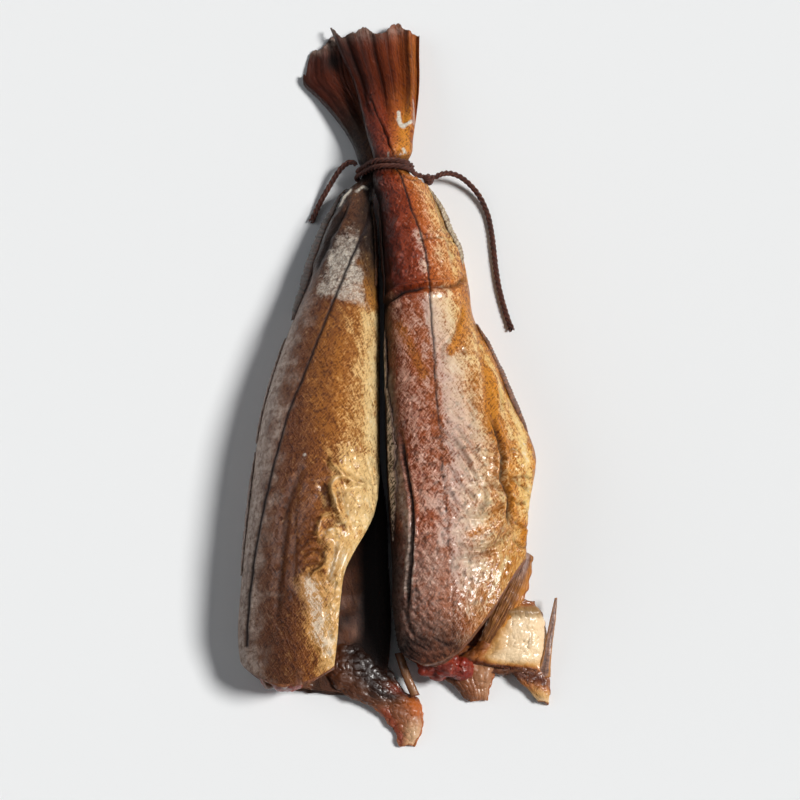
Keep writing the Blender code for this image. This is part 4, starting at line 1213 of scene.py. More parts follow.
    # more painted sheen along the belly roll
    for path, width, strength in (
            (((49.0, 118.0), (53.4, 134.0), (56.0, 150.0), (55.6, 170.0)), 3.0, 0.62),
            (((36.4, 92.0), (43.4, 108.0), (47.0, 120.0)), 1.4, 0.55)):
        hide.mark_line("bloom", path, width, strength, 0.5)

    # stains, painted shade and painted grey sheen
    hide.stain_and_light["neck"] = 1 - ramp(hide.d + 5.0 * noise(hide.points, 10.0, 34), 62.0, 82.0)
    # painted grey sheen along the back and on the tail's tips
    hide.mark_line("haze", ((-5.6, 108.0), (-4.0, 125.9), (-1.4, 145.9), (1.2, 164.7),
                            (3.9, 178.7), (3.0, 205.0)), 2.2, 0.8, 0.5)
    hide.mark_line("haze", ((-33.0, -70.0), (-16.0, -69.0), (0.0, -71.0)), 4.4, 0.35, 0.6)
    hide.mark_line("dirt", ((-30.0, -64.0), (-24.0, -56.0), (-20.0, -46.0)), 1.4, 0.5, 0.5)
    # painted shade in the furrows near the cut
    at_cut = ramp(hide.d, 210.0, 228.0) * (1 - ramp(hide.tone, 0.4, 0.62))
    furrows = 0.35 + 0.9 * (1 - ridges(stretched(hide.points, 32.0, 12.0, 1.9), 1.0, 3, 72))
    hide.stain_and_light["dirt"] = np.maximum(hide.stain_and_light["dirt"], (0.85 * at_cut * furrows).clip(0, 1))
    # painted grey sheen low on the back
    lower_back = within(hide.d, 186.0, 232.0, 10.0) * (1 - ramp(hide.tone, 0.30, 0.50))
    hide.stain_and_light["haze"] = np.maximum(hide.stain_and_light["haze"], 0.40 * lower_back)
    # dark specks in the skin
    specks = ramp(noise(hide.points, 2.4, 38) + 0.5 * noise(hide.points, 1.2, 39), 0.30, 0.62)
    hide.stain_and_light["dirt"] = np.maximum(hide.stain_and_light["dirt"], 0.5 * specks * within(
        hide.d, 120.0, 236.0, 24.0) * (1 - ramp(hide.tone, 0.62, 0.80)))
    # painted shade along the back edge, which turns away from the light
    shaded_back = (1 - ramp(hide.tone, 0.0, 0.13)) * within(hide.d, 10.0, 240.0, 8.0)
    hide.stain_and_light["dirt"] = np.maximum(hide.stain_and_light["dirt"], 0.85 * shaded_back)
    # darker in the band where the string lies
    string_bed = within(hide.d, -1.0, 9.0, 3.0)
    hide.stain_and_light["dirt"] = np.maximum(hide.stain_and_light["dirt"], 0.75 * string_bed)


# ---------------------------------------------------------------- the left fish's wrinkles

LEFT_SIDE_LINE = ((-12.9, 20.0), (-15.5, 34.0), (-18.8, 42.5), (-22.1, 51.0), (-26.1, 62.4),
                  (-31.4, 76.0), (-35.7, 88.0), (-40.0, 100.0), (-45.2, 113.5), (-48.4, 122.3),
                  (-52.0, 135.1), (-56.4, 152.1), (-60.0, 168.6), (-62.9, 186.6),
                  (-65.4, 206.0), (-66.6, 228.0))


def wrinkle_left(hide):
    tail_rays(hide, 1.0)
    for across, depth, width, dirt in ((-0.86, 0.4, 0.04, 0.3), (-0.4, 0.6, 0.08, 0.4),
                                       (0.1, 0.5, 0.05, 0.3)):
        pleat(hide, across, depth, width, dirt=dirt)
    # a dimple with painted shade in it
    hide.spot((-31.5, -55.5), 5.5, 1.2, "dirt", 0.9)

    hide.wrinkle(within(hide.d, 4.0, 60.0, 8.0), 80.0, 16.0, 6.0, 0.7, 81)
    hide.wrinkle(within(hide.d, 0.0, 14.0, 4.0), 80.0, 10.0, 2.0, 0.7, 82, ridges)
    body = within(hide.d, 40.0, 240.0, 10.0)
    hide.wrinkle(body, 100.0, 45.0, 14.0, 0.7, 83)
    hide.wrinkle(body, 105.0, 9.0, 4.0, 0.30, 84)

    # puckered skin under the loose string, with pale streaks along its folds: painted highlights
    for path in (((-27.5, 21.9), (-25.3, 17.7), (-22.5, 14.0)),
                 ((-19.6, 15.2), (-17.4, 13.2), (-15.4, 13.0))):
        hide.mark_line("pale", path, 0.95, 1.0, 0.5)
        hide.fold(path, 0.9, 1.0, ends=0.45)
    hide.crease(((-25.0, 24.0), (-29.4, 33.0), (-34.0, 45.0), (-38.0, 56.0)), 0.9, 1.4, 0.5, 0.8)
    hide.crease(((-23.0, 21.0), (-26.0, 28.0), (-30.0, 38.0)), 0.5, 0.8, 0.6, 0.6)

    # the belly wall has shrunk: broad soft folds, and sinuous ones with painted highlights along
    # their crests
    for path, height, width in (
            (((-31.0, 147.0), (-26.0, 153.5), (-20.0, 156.6), (-12.0, 158.0)), 1.3, 2.6),
            (((-29.4, 157.4), (-29.2, 164.0), (-26.4, 172.0), (-24.6, 178.0)), 1.6, 2.3),
            (((-34.8, 174.0), (-35.2, 182.0)), 1.3, 2.2),
            (((-31.4, 184.0), (-31.0, 192.0), (-35.4, 199.0)), 1.4, 2.4),
            (((-21.0, 181.0), (-24.0, 192.0), (-27.0, 204.0)), 1.1, 2.2)):
        hide.fold(path, height, width, steep=0.7, wander=0.6)
    hide.spot((-17.2, 165.6), 6.0, -1.8)
    hide.spot((-30.2, 180.4), 2.6, -0.9)
    for path, depth, width in (
            (((-25.6, 160.6), (-24.4, 167.0), (-22.4, 175.0)), 1.0, 1.3),
            (((-33.2, 158.0), (-33.4, 165.0), (-31.6, 171.0)), 1.1, 1.9),
            (((-27.8, 185.0), (-28.4, 193.0), (-31.6, 203.0)), 0.9, 1.5)):
        hide.crease(path, depth, width, 0.2, 0.45)
    folds = (
        (((-31.4, 145.0), (-29.4, 149.6), (-26.9, 153.2), (-22.2, 157.1), (-15.6, 158.6)), 1.1),
        (((-24.8, 155.9), (-28.4, 156.8), (-29.8, 159.5), (-29.7, 163.1), (-27.9, 168.4),
          (-26.2, 174.9)), 1.5),
        (((-27.3, 158.0), (-25.6, 164.6), (-23.5, 171.0), (-20.6, 175.4)), 1.1),
        (((-27.0, 173.8), (-30.5, 173.0), (-33.5, 174.3), (-34.8, 177.7), (-34.9, 182.1),
          (-33.7, 184.3), (-32.2, 182.9), (-31.8, 180.4)), 1.3),
        (((-32.0, 180.2), (-29.0, 178.9), (-26.9, 179.0), (-26.4, 181.4)), 1.1),
        (((-31.4, 184.1), (-29.9, 186.2), (-32.2, 189.5), (-31.5, 193.4), (-33.4, 195.9),
          (-37.0, 198.2), (-36.1, 202.8)), 1.2),
        (((-23.2, 172.6), (-24.2, 176.0), (-27.4, 177.0)), 0.7),
        (((-19.0, 160.0), (-18.0, 166.0), (-15.6, 171.0)), 0.7),
        (((-24.6, 182.0), (-27.0, 188.0), (-28.2, 195.0), (-30.4, 201.0)), 0.9),
    )
    for path, height in folds:
        hide.fold(path, 0.9 * height, 1.15, steep=0.6, wander=0.8)
        # painted highlights along each fold
        hide.mark_line("bloom", path, 2.6, 0.5, 0.3, wander=0.8)
        hide.mark_line("bloom", path, 0.7, 0.7, 0.7, wander=0.8)
    for path in (((-29.0, 175.4), (-26.0, 176.4), (-23.6, 179.0)),
                 ((-31.0, 159.0), (-31.4, 164.0), (-29.6, 170.0)),
                 ((-38.6, 197.4), (-34.6, 195.6)), ((-27.4, 162.0), (-26.6, 168.0))):
        hide.crease(path, 0.7, 0.8, 0.3, 0.55)
    for path in (((-43.4, 186.9), (-39.1, 184.2), (-34.3, 186.1)),
                 ((-42.9, 191.2), (-38.2, 189.1), (-33.8, 190.9)),
                 ((-42.4, 195.8), (-37.7, 193.8), (-34.7, 195.3)),
                 ((-42.2, 201.0), (-38.4, 198.2)), ((-41.0, 182.0), (-37.0, 180.6))):
        hide.crease(path, 0.7, 0.8, 0.6, 0.4, wander=1.6)
    folded = within(hide.d, 140.0, 182.0, 8.0) * ramp(hide.tone, 0.55, 0.75)
    hide.wrinkle(folded, 70.0, 9.0, 3.2, 1.0, 85)
    hide.wrinkle(folded, 118.0, 7.0, 2.2, 0.8, 89, ridges)
    flap = within(hide.d, 196.0, 246.0, 8.0) * ramp(hide.tone, 0.5, 0.68)
    hide.wrinkle(flap, 112.0, 9.0, 2.8, 1.4, 86, ridges)
    hide.wrinkle(flap, 60.0, 6.0, 3.0, 0.8, 87)
    hide.crease(((-43.0, 149.0), (-46.3, 160.0), (-49.4, 170.0), (-50.8, 184.0),
                 (-52.3, 203.0), (-54.0, 224.0)), 1.0, 2.0, 0.0, 0.5)
    hide.crease(((-45.4, 160.5), (-45.6, 176.0), (-45.9, 192.0), (-46.6, 212.0)),
                0.5, 1.0, 0.0, 0.4)
    hide.wrinkle(within(hide.d, 165.0, 240.0, 10.0) * within(hide.tone, 0.2, 0.5, 0.06),
                 98.0, 12.0, 2.4, 0.35, 88, ridges)
    hide.spot((-41.6, 145.9), 0.9, -0.3, "pale", 0.7)

    hide.crease(LEFT_SIDE_LINE, 0.5, 0.62, 0.3, 0.0, ends=0, wander=0.5)
    hide.mark_line("line", LEFT_SIDE_LINE, 0.72, 1.0, wander=0.5)
    hide.mark_line("dirt", ((-55.4, 149.0), (-60.0, 168.6), (-62.9, 186.6), (-65.8, 212.0)),
                   1.6, 0.35, 0.6)

    # a patch has bleached: crisp at its lower edge, fading upwards and to its sides
    blotch = 4.5 * noise(hide.points, 7.0, 35) + 1.6 * noise(hide.points, 2.4, 36)
    edge = 1 - ramp(hide.d - 0.25 * hide.x + 0.4 * blotch, 76.0, 81.0)
    fade = ramp(hide.d + 1.0 * blotch, 22.0, 48.0)
    sides = ramp(hide.x + 0.36 * hide.d + 0.8 * blotch, -17.5, -10.0) * (
        1 - 0.85 * ramp(hide.x - 0.10 * hide.d + 0.6 * blotch, -25.5, -20.5))
    hide.stain_and_light["pale"] = np.maximum(hide.stain_and_light["pale"], 0.5 * edge * fade * sides)
    hide.mark_line("pale", ((-24.0, 46.0), (-24.2, 57.0), (-22.0, 70.0)), 2.4, 0.5, 0.6)
    hide.spot((-23.2, 51.5), 1.2, -0.4, "pale", 1.0)
    hide.stain_and_light["neck"] = 1 - ramp(hide.d + blotch, 44.0, 74.0)
    # painted sheen rising towards the belly, over the folds and over the crumpled flap
    rising = ramp(hide.tone, 0.55, 1.0) * within(hide.d, 74.0, 240.0, 4.0)
    hide.stain_and_light["bloom"] = np.maximum(hide.stain_and_light["bloom"], 0.40 * rising + 0.10 * ramp(
        hide.d, 70.0, 78.0) + 0.5 * ramp(hide.d, 196.0, 208.0) * rising)
    hide.stain_and_light["bloom"] = np.maximum(hide.stain_and_light["bloom"], 0.60 * folded)
    crumpled = within(hide.d, 178.0, 246.0, 10.0) * ramp(hide.tone, 0.50, 0.66)
    hide.stain_and_light["bloom"] = np.maximum(hide.stain_and_light["bloom"], 0.72 * crumpled)
    # painted sheen in streaks where the light catches the skin
    for path, width, strength in (
            (((-14.4, 79.1), (-13.0, 98.7), (-12.9, 117.6), (-13.3, 136.4)), 4.6, 0.60),
            (((-22.4, 80.7), (-18.7, 93.2), (-16.9, 109.4), (-18.6, 128.6)), 3.0, 0.30),
            (((-28.2, 74.8), (-25.1, 79.8), (-22.3, 86.5)), 2.0, 0.40),
            (((-30.7, 147.2), (-27.1, 153.9), (-20.6, 157.4), (-13.2, 158.0)), 2.6, 0.45),
            (((-21.8, 167.9), (-17.5, 165.0), (-13.6, 167.7)), 4.2, 0.62),
            (((-11.9, 149.7), (-11.5, 163.3), (-14.9, 175.7), (-19.2, 185.3),
              (-22.1, 194.4)), 2.6, 0.45),
            (((-38.5, 203.8), (-35.4, 215.2), (-33.8, 224.8), (-29.7, 230.9)), 7.0, 0.98),
            (((-19.6, 178.0), (-24.4, 190.0), (-27.4, 203.0)), 3.4, 0.62),
            (((-32.2, 180.5), (-27.8, 179.9)), 2.4, 0.66),
            (((-36.7, 157.2), (-34.9, 162.7), (-32.7, 168.0)), 1.3, 0.50)):
        hide.mark_line("bloom", path, width, strength, 0.35)
    for path, width, strength in (
            (((-31.3, 80.7), (-34.7, 101.1), (-36.2, 120.2), (-30.8, 135.3)), 5.0, 0.2),
            (((-26.7, 91.5), (-27.5, 110.8), (-25.5, 129.5)), 3.2, 0.25),
            (((-26.0, 160.0), (-23.6, 170.0), (-21.0, 178.0)), 2.6, 0.7),
            (((-15.6, 174.7), (-20.8, 186.0), (-24.0, 197.7), (-25.6, 210.7)), 3.0, 0.9)):
        hide.mark_line("amber", path, width, strength, 0.4)
    # painted grey sheen along the back edge, where the skin reflects at a grazing angle
    grey = within(hide.d, 74.0, 260.0, 26.0) * (1 - ramp(hide.tone + 0.03 * blotch, 0.02, 0.26))
    hide.stain_and_light["haze"] = np.maximum(hide.stain_and_light["haze"], 0.9 * grey)
    # painted shade over the back half, towards the nape
    low = ramp(hide.d, 150.0, 215.0) * (1 - ramp(hide.tone, 0.36, 0.52))
    hide.stain_and_light["dirt"] = np.maximum(hide.stain_and_light["dirt"], 0.22 * low)
    # painted shade on the lower flap, turned under beside the right fish
    under = 1 - ramp(np.sin(hide.angle), -0.15, 0.25)
    hide.stain_and_light["dirt"] = np.maximum(hide.stain_and_light["dirt"], 0.9 * under * ramp(hide.tone, 0.5, 0.7))
    # darker in the band where the string lies
    string_bed = within(hide.d, -1.0, 10.0, 3.0)
    hide.stain_and_light["dirt"] = np.maximum(hide.stain_and_light["dirt"], 0.85 * string_bed)
    shaded = within(hide.d, 10.0, 66.0, 6.0) * ramp(hide.tone, 0.80, 0.95)
    hide.stain_and_light["dirt"] = np.maximum(hide.stain_and_light["dirt"], 0.5 * shaded)
    # painted grey sheen on the tail
    hide.mark_line("haze", ((-43.0, -62.0), (-36.0, -63.0), (-30.0, -67.0)), 3.0, 0.6, 0.6)


# ---------------------------------------------------------------- fins, collars and scraps


def grid_marks(grid, rays=0.0, lean=0.0):
    """Marks of a sheet: its own measures, its tone across, its rim and its rays."""
    high, wide = grid.shape[:2]
    down = np.linspace(0.0, 1.0, high)[:, None] + np.zeros((1, wide))
    over = np.linspace(0.0, 1.0, wide)[None, :] + np.zeros((high, 1))
    tall = np.linalg.norm(np.diff(grid[:, wide // 2], axis=0), axis=1).sum()
    broad = np.linalg.norm(np.diff(grid[high // 2], axis=0), axis=1).sum()
    place_on = np.stack([over * broad, down * tall, 0 * down], axis=-1)
    ray_at = np.stack([(over * broad + lean * down * tall) * rays,
                       down * tall / 14.0, 0 * down], axis=-1)
    from_rim = np.minimum(np.minimum(down, 1 - down) * tall, np.minimum(over, 1 - over) * broad)
    return {"skin_place": place_on, "tone": over, "rim": 1 - ramp(from_rim, 0.0, 2.2),
            "ray_place": ray_at, "dirt": 0 * down, "red": 0 * down, "haze": 0 * down,
            "amber": 0 * down}


def dried_fin(name, fish, start, end, root, free, height, thickness, finish,
              rows=110, ragged=0.25, lift=0.0, pitch=1.5, seed=0, dirt=0.0):
    """A fin dried against the skin: it rises from its root angle to its ragged free edge."""
    along = np.linspace(start, end, rows)
    share = np.linspace(0.0, 1.0, 14)
    line = np.stack([along, 0 * along, 0 * along], axis=-1)
    swell = np.sin(math.pi * np.clip((along - start) / (end - start), 0.02, 0.98)) ** 0.55
    swell = swell * (1 - ragged * (0.5 + 0.5 * noise(line, 4.0, seed))
                     - 0.5 * ragged * np.maximum(0, noise(line, 1.3, seed + 1)))
    grid = np.zeros((rows, len(share), 3))
    for k, s in enumerate(share):
        angle = root + (free - root) * s * swell
        point = skin(fish, along, angle)
        ahead = skin(fish, along, angle + 0.01)
        slope = (ahead - point) / np.linalg.norm(ahead - point, axis=1, keepdims=True)
        outward = np.stack([slope[:, 2], 0 * along, -slope[:, 0]], axis=-1)
        ray = np.cos(FULL_TURN * (along + 3.0 * s) / pitch) * 0.16
        rise = height * s * swell + 0.35 + lift + ray + 0.3 * noise(line + s * 3.0, 5.0, seed + 2)
        grid[:, k] = point + outward * rise[:, None]
    marks = grid_marks(grid)
    marks["ray_place"] = np.stack([(along[:, None] + 3.0 * share[None, :]) / pitch * 1.6,
                                   0 * along[:, None] + share[None, :] * 0.4,
                                   np.zeros((rows, len(share)))], axis=-1)
    marks["rim"] = np.clip(share[None, :] + 0 * along[:, None], 0, 1) ** 2
    marks["dirt"] = np.full(grid.shape[:2], dirt) * (1 - share[None, :])
    return shell(name, grid, thickness, finish, marks)


def ribbed_sheet(ribs, rows=70, columns=56):
    """A smooth sheet through ribs, each given by its two ends and the rise of its middle."""
    table = np.array([[k, *left, *right, rise] for k, (left, right, rise) in enumerate(ribs)])
    at = np.linspace(0.0, len(ribs) - 1.0, rows)
    left = np.stack([curve(table, at, k) for k in (1, 2, 3)], axis=-1)[:, None]
    right = np.stack([curve(table, at, k) for k in (4, 5, 6)], axis=-1)[:, None]
    share = np.linspace(0.0, 1.0, columns)[None, :, None]
    grid = left + share * (right - left)
    grid[..., 2] += 4 * curve(table, at, 7)[:, None] * share[..., 0] * (1 - share[..., 0])
    return grid


def worn(grid, amount, size, seed):
    """Move a sheet's rims in and out a little, so that no edge is straight."""
    high, wide = grid.shape[:2]
    down = np.linspace(-1.0, 1.0, high)[:, None]
    over = np.linspace(-1.0, 1.0, wide)[None, :]
    sideways = grid[:, -1:] - grid[:, :1]
    sideways = sideways / np.maximum(np.linalg.norm(sideways, axis=-1, keepdims=True), 1e-6)
    moved = grid + sideways * (amount * over ** 3 * noise(grid, size, seed))[..., None]
    moved[..., 1] += amount * down ** 3 * noise(grid, size, seed + 1)
    return moved


def press(grid, height):
    """Raise a sheet by heights along its own directions."""
    return grid + normals_of(grid) * height[..., None]


def right_collar(finish, fins):
    ribs = (
        ((44.0, 205.0, 11.0), (60.5, 205.0, 9.0), 1.5),
        ((40.0, 214.0, 10.0), (64.4, 213.0, 7.0), 3.0),
        ((34.0, 224.0, 9.0), (65.8, 224.0, 5.0), 4.0),
        ((27.0, 232.0, 8.0), (66.2, 233.0, 3.5), 3.5),
        ((48.0, 237.0, 6.0), (66.6, 241.0, 3.0), 1.5),
        ((61.0, 249.0, 2.6), (65.6, 250.0, 2.2), 0.2))
    grid = worn(ribbed_sheet(ribs, 110, 96), 0.9, 4.0, 101)
    over = np.linspace(0.0, 1.0, grid.shape[1])[None, :]
    down = np.linspace(0.0, 1.0, grid.shape[0])[:, None]
    lower_rim = within(down, 0.60, 0.82, 0.06) * (1 - ramp(over, 0.7, 0.95))
    height = (1.1 * rough(grid, 7.0, 4, 102) + 0.5 * ridges(grid, 4.0, 2, 103)
              + 1.6 * bell(down - 0.04, 0.05) - 1.3 * bell(down - 0.13, 0.05)
              + 1.5 * lower_rim + 1.2 * bell(over - 0.97, 0.06))
    slit = bell(over - 0.72, 0.012) * within(down, 0.36, 0.42, 0.09)
    height = height - 0.7 * slit
    piece_grid = press(grid, height)
    marks = grid_marks(piece_grid)
    marks["tone"] = np.clip(0.12 + 0.85 * within(down, 0.12, 0.62, 0.10) * ramp(over, 0.10, 0.5)
                            - 0.40 * lower_rim + 0.62 * ramp(down, 0.82, 1.0), 0, 1)
    # painted shade in the slit, beside the raised rim and at the left edge
    marks["dirt"] = np.clip(0.7 * slit + 0.55 * bell(down - 0.13, 0.05)
                            + 0.6 * (1 - ramp(over, 0.0, 0.16)) * ramp(down, 0.3, 0.6), 0, 1)
    shell("right_collar", piece_grid, 2.4, finish, marks)
    pelvic = ribbed_sheet((
        ((59.0, 239.0, 4.2), (66.4, 238.0, 3.4), 0.2),
        ((62.3, 231.0, 5.5), (66.6, 231.0, 5.0), 0.3),
        ((64.4, 222.0, 6.6), (67.6, 221.0, 6.0), 0.4),
        ((66.3, 213.0, 7.8), (68.8, 212.6, 7.2), 0.3),
        ((68.5, 203.6, 8.6), (69.5, 203.4, 8.2), 0.0)), 60, 14)
    marks = grid_marks(pelvic, rays=1.6)
    # painted grey sheen along its rim
    marks["haze"] = 0.45 * marks["rim"]
    shell("right_pelvic_fin", press(pelvic, 0.2 * rough(pelvic, 2.0, 2, 104)), 1.5, fins,
          marks)


def right_pectoral(finish):
    ribs = (
        ((34.5, 223.5, 10.5), (41.5, 226.0, 10.5), 0.5),
        ((40.2, 209.0, 12.8), (50.2, 214.0, 11.5), 1.4),
        ((46.5, 196.0, 15.2), (56.6, 199.0, 12.5), 1.6),
        ((53.5, 184.0, 16.5), (58.6, 186.0, 15.0), 0.6))
    grid = worn(ribbed_sheet(ribs, 100, 64), 0.7, 3.0, 111)
    share = np.linspace(0.0, 1.0, 64)[None, :]
    rays = 0.12 * np.cos(FULL_TURN * 26 * share) + 0.35 * noise(grid, 3.0, 112)
    grid = press(grid, rays)
    marks = grid_marks(grid)
    marks["ray_place"] = np.stack([share * 44.0 + 0 * grid[..., 0],
                                   grid[..., 1] / 14.0, 0 * grid[..., 0]], axis=-1)
    down = np.linspace(0.0, 1.0, 100)[:, None]
    marks["rim"] = 0.7 * ramp(share, 0.86, 1.0) + 0 * grid[..., 0]
    # painted grey sheen on its lower part
    marks["haze"] = 0.75 * ramp(down, 0.6, 0.9) * (1 - ramp(share, 0.6, 0.9))
    marks["amber"] = (0.3 + 0.6 * ramp(share, 0.62, 0.82)) * (1 - 0.4 * ramp(down, 0.7, 1.0))
    # painted shade along its root side, in the gap under the flank's end
    marks["dirt"] = 0.75 * (1 - ramp(share, 0.0, 0.22)) * (1 - 0.6 * ramp(down, 0.5, 0.9))
    shell("right_pectoral_fin", grid, 1.1, finish, marks)


def right_far_flap(finish):
    ribs = (
        ((14.0, 226.0, 4.0), (45.0, 223.0, 4.0), 0.8),
        ((17.5, 236.0, 4.5), (42.4, 235.6, 4.6), 2.0),
        ((25.0, 243.0, 3.5), (39.8, 242.4, 3.5), 1.5),
        ((30.0, 249.0, 1.8), (38.4, 248.4, 1.8), 0.3))
    grid = worn(ribbed_sheet(ribs, 70, 80), 0.8, 3.0, 121)
    share = np.linspace(0.0, 1.0, 80)[None, :]
    grid = press(grid, 0.12 * np.cos(FULL_TURN * 9 * share) + 1.1 * rough(grid, 5.0, 3, 122)
                 + 1.1 * bell(share - 0.95, 0.05))
    marks = grid_marks(grid)
    marks["tone"] = 0.25 + 0.35 * ramp(share, 0.3, 0.9) + 0 * grid[..., 0]
    # darker towards its left side
    marks["dirt"] = 0.12 + 0.5 * (1 - ramp(share, 0.05, 0.3)) + 0 * grid[..., 0]
    shell("right_far_flap", grid, 2.4, finish, marks)


def left_collar(finish, bone):
    ribs = (
        ((-36.0, 226.0, 6.0), (-12.0, 222.0, 5.0), 2.0),
        ((-34.0, 236.0, 6.0), (-6.0, 232.0, 4.5), 3.0),
        ((-26.0, 245.0, 5.5), (2.0, 243.0, 3.5), 2.5),
        ((-12.0, 252.0, 3.5), (9.0, 249.0, 3.0), 1.5),
        ((-3.0, 262.0, 2.4), (10.6, 259.0, 2.4), 0.8),
        ((-0.5, 268.0, 1.7), (6.0, 268.0, 1.7), 0.1))
    grid = worn(ribbed_sheet(ribs, 120, 80), 1.2, 4.0, 131)
    share = np.linspace(0.0, 1.0, 80)[None, :]
    down = np.linspace(0.0, 1.0, 120)[:, None]
    grid = press(grid, 1.3 * rough(grid, 6.0, 4, 132) + 0.6 * ridges(grid, 3.6, 2, 133)
                 + 1.4 * bell(share - 0.92, 0.08))
    marks = grid_marks(grid)
    marks["tone"] = np.clip(0.2 + 0.7 * ramp(down, 0.66, 0.85) * ramp(share, 0.1, 0.6), 0, 1)
    marks["amber"] = 0.8 * within(down, 0.52, 0.72, 0.05) * ramp(share, 0.5, 0.8)
    marks["red"] = (0.55 * within(down, 0.36, 0.52, 0.06) * ramp(share, 0.55, 0.85)
                    + 0.45 * within(down, 0.62, 1.0, 0.05) * bell(share - 0.16, 0.12))
    # painted shade over its upper part, where it lies deep between the fish
    marks["dirt"] = np.clip(0.95 * (1 - ramp(down, 0.50, 0.64)) * (0.6 + 0.4 * ramp(
        share, 0.2, 0.6)) - marks["red"], 0, 1)
    shell("left_collar", grid, 2.4, finish, marks)
    splint = ribbed_sheet((
        ((-2.2, 228.0, 5.4), (1.0, 227.6, 5.4), 0.7),
        ((1.0, 238.0, 6.4), (4.2, 237.0, 6.4), 0.9),
        ((5.0, 247.5, 5.0), (8.6, 246.3, 5.0), 0.6)), 60, 12)
    marks = grid_marks(splint)
    marks["tone"] = marks["tone"] * 0.3 + 0.1
    shell("left_gill_bone", press(splint, 0.25 * rough(splint, 3.0, 3, 134)), 1.9, bone,
          marks)


def left_pectoral(finish):
    ribs = (
        ((-37.0, 228.0, 30.4), (-32.0, 229.0, 27.0), 0.5),
        ((-36.0, 214.0, 35.0), (-27.0, 216.0, 29.8), 1.0),
        ((-33.0, 200.0, 37.0), (-26.0, 202.0, 32.0), 0.8),
        ((-30.0, 192.0, 36.6), (-28.0, 193.0, 34.2), 0.1))
    grid = worn(ribbed_sheet(ribs, 80, 40), 0.6, 3.0, 141)
    share = np.linspace(0.0, 1.0, 40)[None, :]
    grid = press(grid, 0.3 * noise(grid, 3.0, 142) - 1.4)
    marks = grid_marks(grid)
    marks["amber"] = 0.9 + 0 * grid[..., 0]
    marks["rim"] = 0.3 * marks["rim"]
    shell("left_pectoral_fin", grid, 1.0, finish, marks)


def scrap(name, centre, size, finish, seed, red=0.0, dirt=0.0, uneven=0.35):
    """An uneven lump of flesh or backbone at the cut."""
    rings, facets = 40, 60
    lean = np.linspace(0.02, math.pi - 0.02, rings)[:, None]
    turn = np.linspace(0.0, FULL_TURN, facets + 1)[None, :]
    ball = np.stack([np.sin(lean) * np.cos(turn), np.sin(lean) * np.sin(turn),
                     np.cos(lean) + 0 * turn], axis=-1)
    swell = 1 + uneven * rough(ball, 0.9, 4, seed) + 0.25 * uneven * ridges(ball, 0.5, 2, seed)
    points = ball * swell[..., None] * np.array(size) + np.array(centre)
    points[..., 2] = np.maximum(points[..., 2], 0.05)
    number = np.arange(rings * (facets + 1)).reshape(rings, facets + 1)
    number[:, -1] = number[:, 0]
    faces = [f[::-1] for f in quads(number).tolist()]
    faces += [number[0, :-1].tolist(), number[-1, :-1][::-1].tolist()]
    marks = {"red": np.clip(red * (0.6 + 0.8 * noise(points.reshape(-1, 3), 3.0, seed)), 0, 1),
             "dirt": np.clip(dirt * (0.7 + 0.9 * noise(points.reshape(-1, 3), 4.0, seed + 1)),
                             0, 1)}
    return make_piece(name, points.reshape(-1, 3), faces, [finish], marks)


# ---------------------------------------------------------------- both fish, light and floor


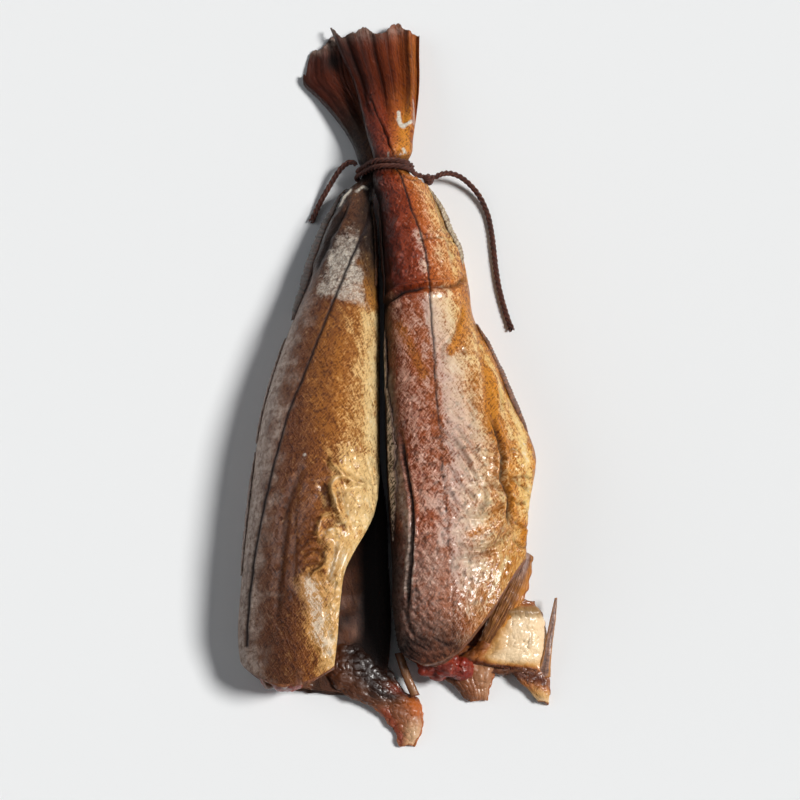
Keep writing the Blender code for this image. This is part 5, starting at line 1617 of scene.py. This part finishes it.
def add_fish():
    right_skin = skin_finish("smoked skin", RIGHT_COLOURS, RIGHT_NECK, RIGHT_PAINTED_SHEEN, 0.8)
    left_skin = skin_finish("smoked skin, duller", LEFT_COLOURS, LEFT_NECK, LEFT_PAINTED_SHEEN, 0.65)
    flesh = flesh_finish("smoked flesh", tint(70, 26, 14), tint(178, 108, 62), 0.9)
    red_flesh = flesh_finish("dried red flesh", tint(96, 20, 10), tint(176, 70, 34), 1.3)
    fins = fin_finish("dried fin", tint(52, 24, 15), tint(142, 90, 56), tint(176, 120, 66))
    grey_fins = fin_finish("dried fin, grey", tint(18, 11, 9), tint(206, 190, 178),
                           tint(120, 96, 84), soft=0.035)
    # grey fins with painted sheen
    painted_sheen_fins = fin_finish("dried fin, painted grey sheen", tint(120, 96, 84), tint(168, 150, 140),
                           tint(150, 132, 122))
    dark_fins = fin_finish("dried fin, dark", tint(28, 18, 16), tint(86, 56, 42),
                           tint(60, 34, 24))
    pale_fins = fin_finish("dried fin, pale", tint(112, 84, 60), tint(200, 184, 156),
                           tint(206, 192, 170))
    collar = collar_finish("collar skin", (
        (0.00, tint(92, 42, 18)), (0.26, tint(176, 104, 44)), (0.52, tint(214, 160, 92)),
        (0.95, tint(244, 214, 172))), tint(136, 76, 36))
    flap = collar_finish("inner skin", (
        (0.00, tint(96, 48, 28)), (0.35, tint(150, 90, 54)), (0.7, tint(188, 136, 96)),
        (1.00, tint(206, 166, 126))), tint(168, 96, 46))
    splint = collar_finish("bone", (
        (0.00, tint(112, 68, 40)), (0.5, tint(160, 112, 72)), (1.0, tint(196, 154, 112))),
        tint(110, 60, 32))

    right_hide = Hide(RIGHT)
    wrinkle_right(right_hide)
    fish_body("right_fish", "fish_right", right_hide, [right_skin, flesh],
              lambda at: 0.0 * at[:, 0])
    left_hide = Hide(LEFT)
    wrinkle_left(left_hide)
    # painted shade in the left fish's belly: darker towards the right fish and low down
    fish_body("left_fish", "fish_left", left_hide, [left_skin, flesh],
              lambda at: ramp(at[:, 0], -19.0, -14.0) + 0.4 * ramp(at[:, 2], 14.0, 4.0))

    dried_fin("right_third_dorsal_fin", RIGHT, 23.0, 70.0, 2.95, 2.70, 0.6, 0.8, dark_fins,
              seed=151)
    dried_fin("right_second_dorsal_fin", RIGHT, 84.0, 116.0, 2.86, 2.66, 0.8, 0.8, grey_fins,
              seed=154, ragged=0.4)
    dried_fin("right_first_dorsal_fin", RIGHT, 112.0, 182.0, 2.80, 2.40, 0.5, 0.8, grey_fins,
              seed=157, ragged=0.45, rows=150)
    dried_fin("right_second_anal_fin", RIGHT, 15.0, 52.0, 0.48, 0.12, 1.7, 0.8, pale_fins,
              seed=160, ragged=0.5)
    dried_fin("right_first_anal_fin", RIGHT, 80.0, 131.0, 0.30, -0.10, 1.4, 1.1, fins,
              seed=163)
    dried_fin("left_third_dorsal_fin", LEFT, 12.0, 78.0, 2.8, 3.3, 5.0, 0.9, dark_fins,
              seed=166, ragged=0.45, pitch=2.2)
    dried_fin("left_second_dorsal_fin", LEFT, 86.0, 136.0, 2.98, 3.12, 0.5, 0.8, painted_sheen_fins,
              seed=169)
    dried_fin("left_first_dorsal_fin", LEFT, 140.0, 196.0, 2.98, 3.12, 0.5, 0.8, painted_sheen_fins,
              seed=172)
    dried_fin("left_first_anal_fin", LEFT, 20.0, 62.0, 0.52, 0.34, 0.7, 0.8, fins,
              seed=175, rows=90)

    right_collar(collar, fins)
    right_pectoral(fins)
    right_far_flap(flap)
    left_collar(flap, splint)
    left_pectoral(fins)
    scrap("right_flesh", (18.0, 235.0, 11.0), (8.5, 5.0, 5.5), red_flesh, 181, 0.5, 0.35, 0.6)
    scrap("right_scrap", (27.0, 235.0, 8.0), (5.5, 5.0, 5.0), red_flesh, 184, 0.5, 0.2)
    scrap("right_backbone", (12.0, 232.0, 14.0), (3.4, 4.0, 3.4), red_flesh, 187, 0.5, 0.4, 0.3)
    scrap("left_flesh", (-50.0, 241.0, 13.0), (8.0, 5.0, 8.0), red_flesh, 190, 0.4, 0.3)
    scrap("left_backbone", (-57.0, 240.5, 13.5), (4.2, 4.5, 4.2), splint, 193, 0.3, 0.3, 0.25)


def add_light(name, kind, at, power, colour, size=None, angle=None, glossy=True, diffuse=True):
    data = bpy.data.lights.new(name, kind)
    if size:
        data.shape = "RECTANGLE"
        data.size, data.size_y = size
    if angle:
        data.angle = math.radians(angle)
    data.energy, data.color = power, colour
    light = bpy.data.objects.new(name, data)
    light.location = at
    light.visible_glossy, light.visible_diffuse = glossy, diffuse
    aim(light, (0.0, 0.0, 0.02))
    bpy.context.collection.objects.link(light)
    return light


def add_studio():
    add_light("window", "SUN", (1.0, 0.03, 1.14), 3.4, (1.0, 0.985, 0.96), angle=18.0)
    add_light("fill", "SUN", (-1.0, 0.1, 0.5), 0.6, (0.95, 0.97, 1.0), angle=50.0, glossy=False)
    add_light("strip, high", "AREA", (0.36, 0.10, 1.25), 2.6, (1.0, 0.97, 0.96),
              size=(0.24, 0.9), diffuse=False)
    add_light("strip, left", "AREA", (-0.45, 0.10, 1.15), 1.6, (1.0, 0.96, 0.97),
              size=(0.22, 0.9), diffuse=False)
    world = bpy.data.worlds.new("studio")
    world.use_nodes = True
    air = world.node_tree.nodes["Background"]
    air.inputs["Color"].default_value = (0.96, 0.98, 1.0, 1.0)
    air.inputs["Strength"].default_value = 0.09
    bpy.context.scene.world = world
    bpy.context.scene.view_settings.view_transform = "Standard"

    table = Finish("pale table")
    table.node("OutputMaterial", {}, {"Surface": table.node("BsdfPrincipled", {}, {
        "Base Color": tint(240, 242, 244), "Roughness": 0.9, "Specular IOR Level": 0.0})})
    bpy.ops.mesh.primitive_plane_add(size=6.0)
    floor = bpy.context.object
    floor.name = "table"
    floor.data.materials.append(table.material)


add_camera()
add_string(twine_finish("tarred twine"))
add_fish()
add_studio()
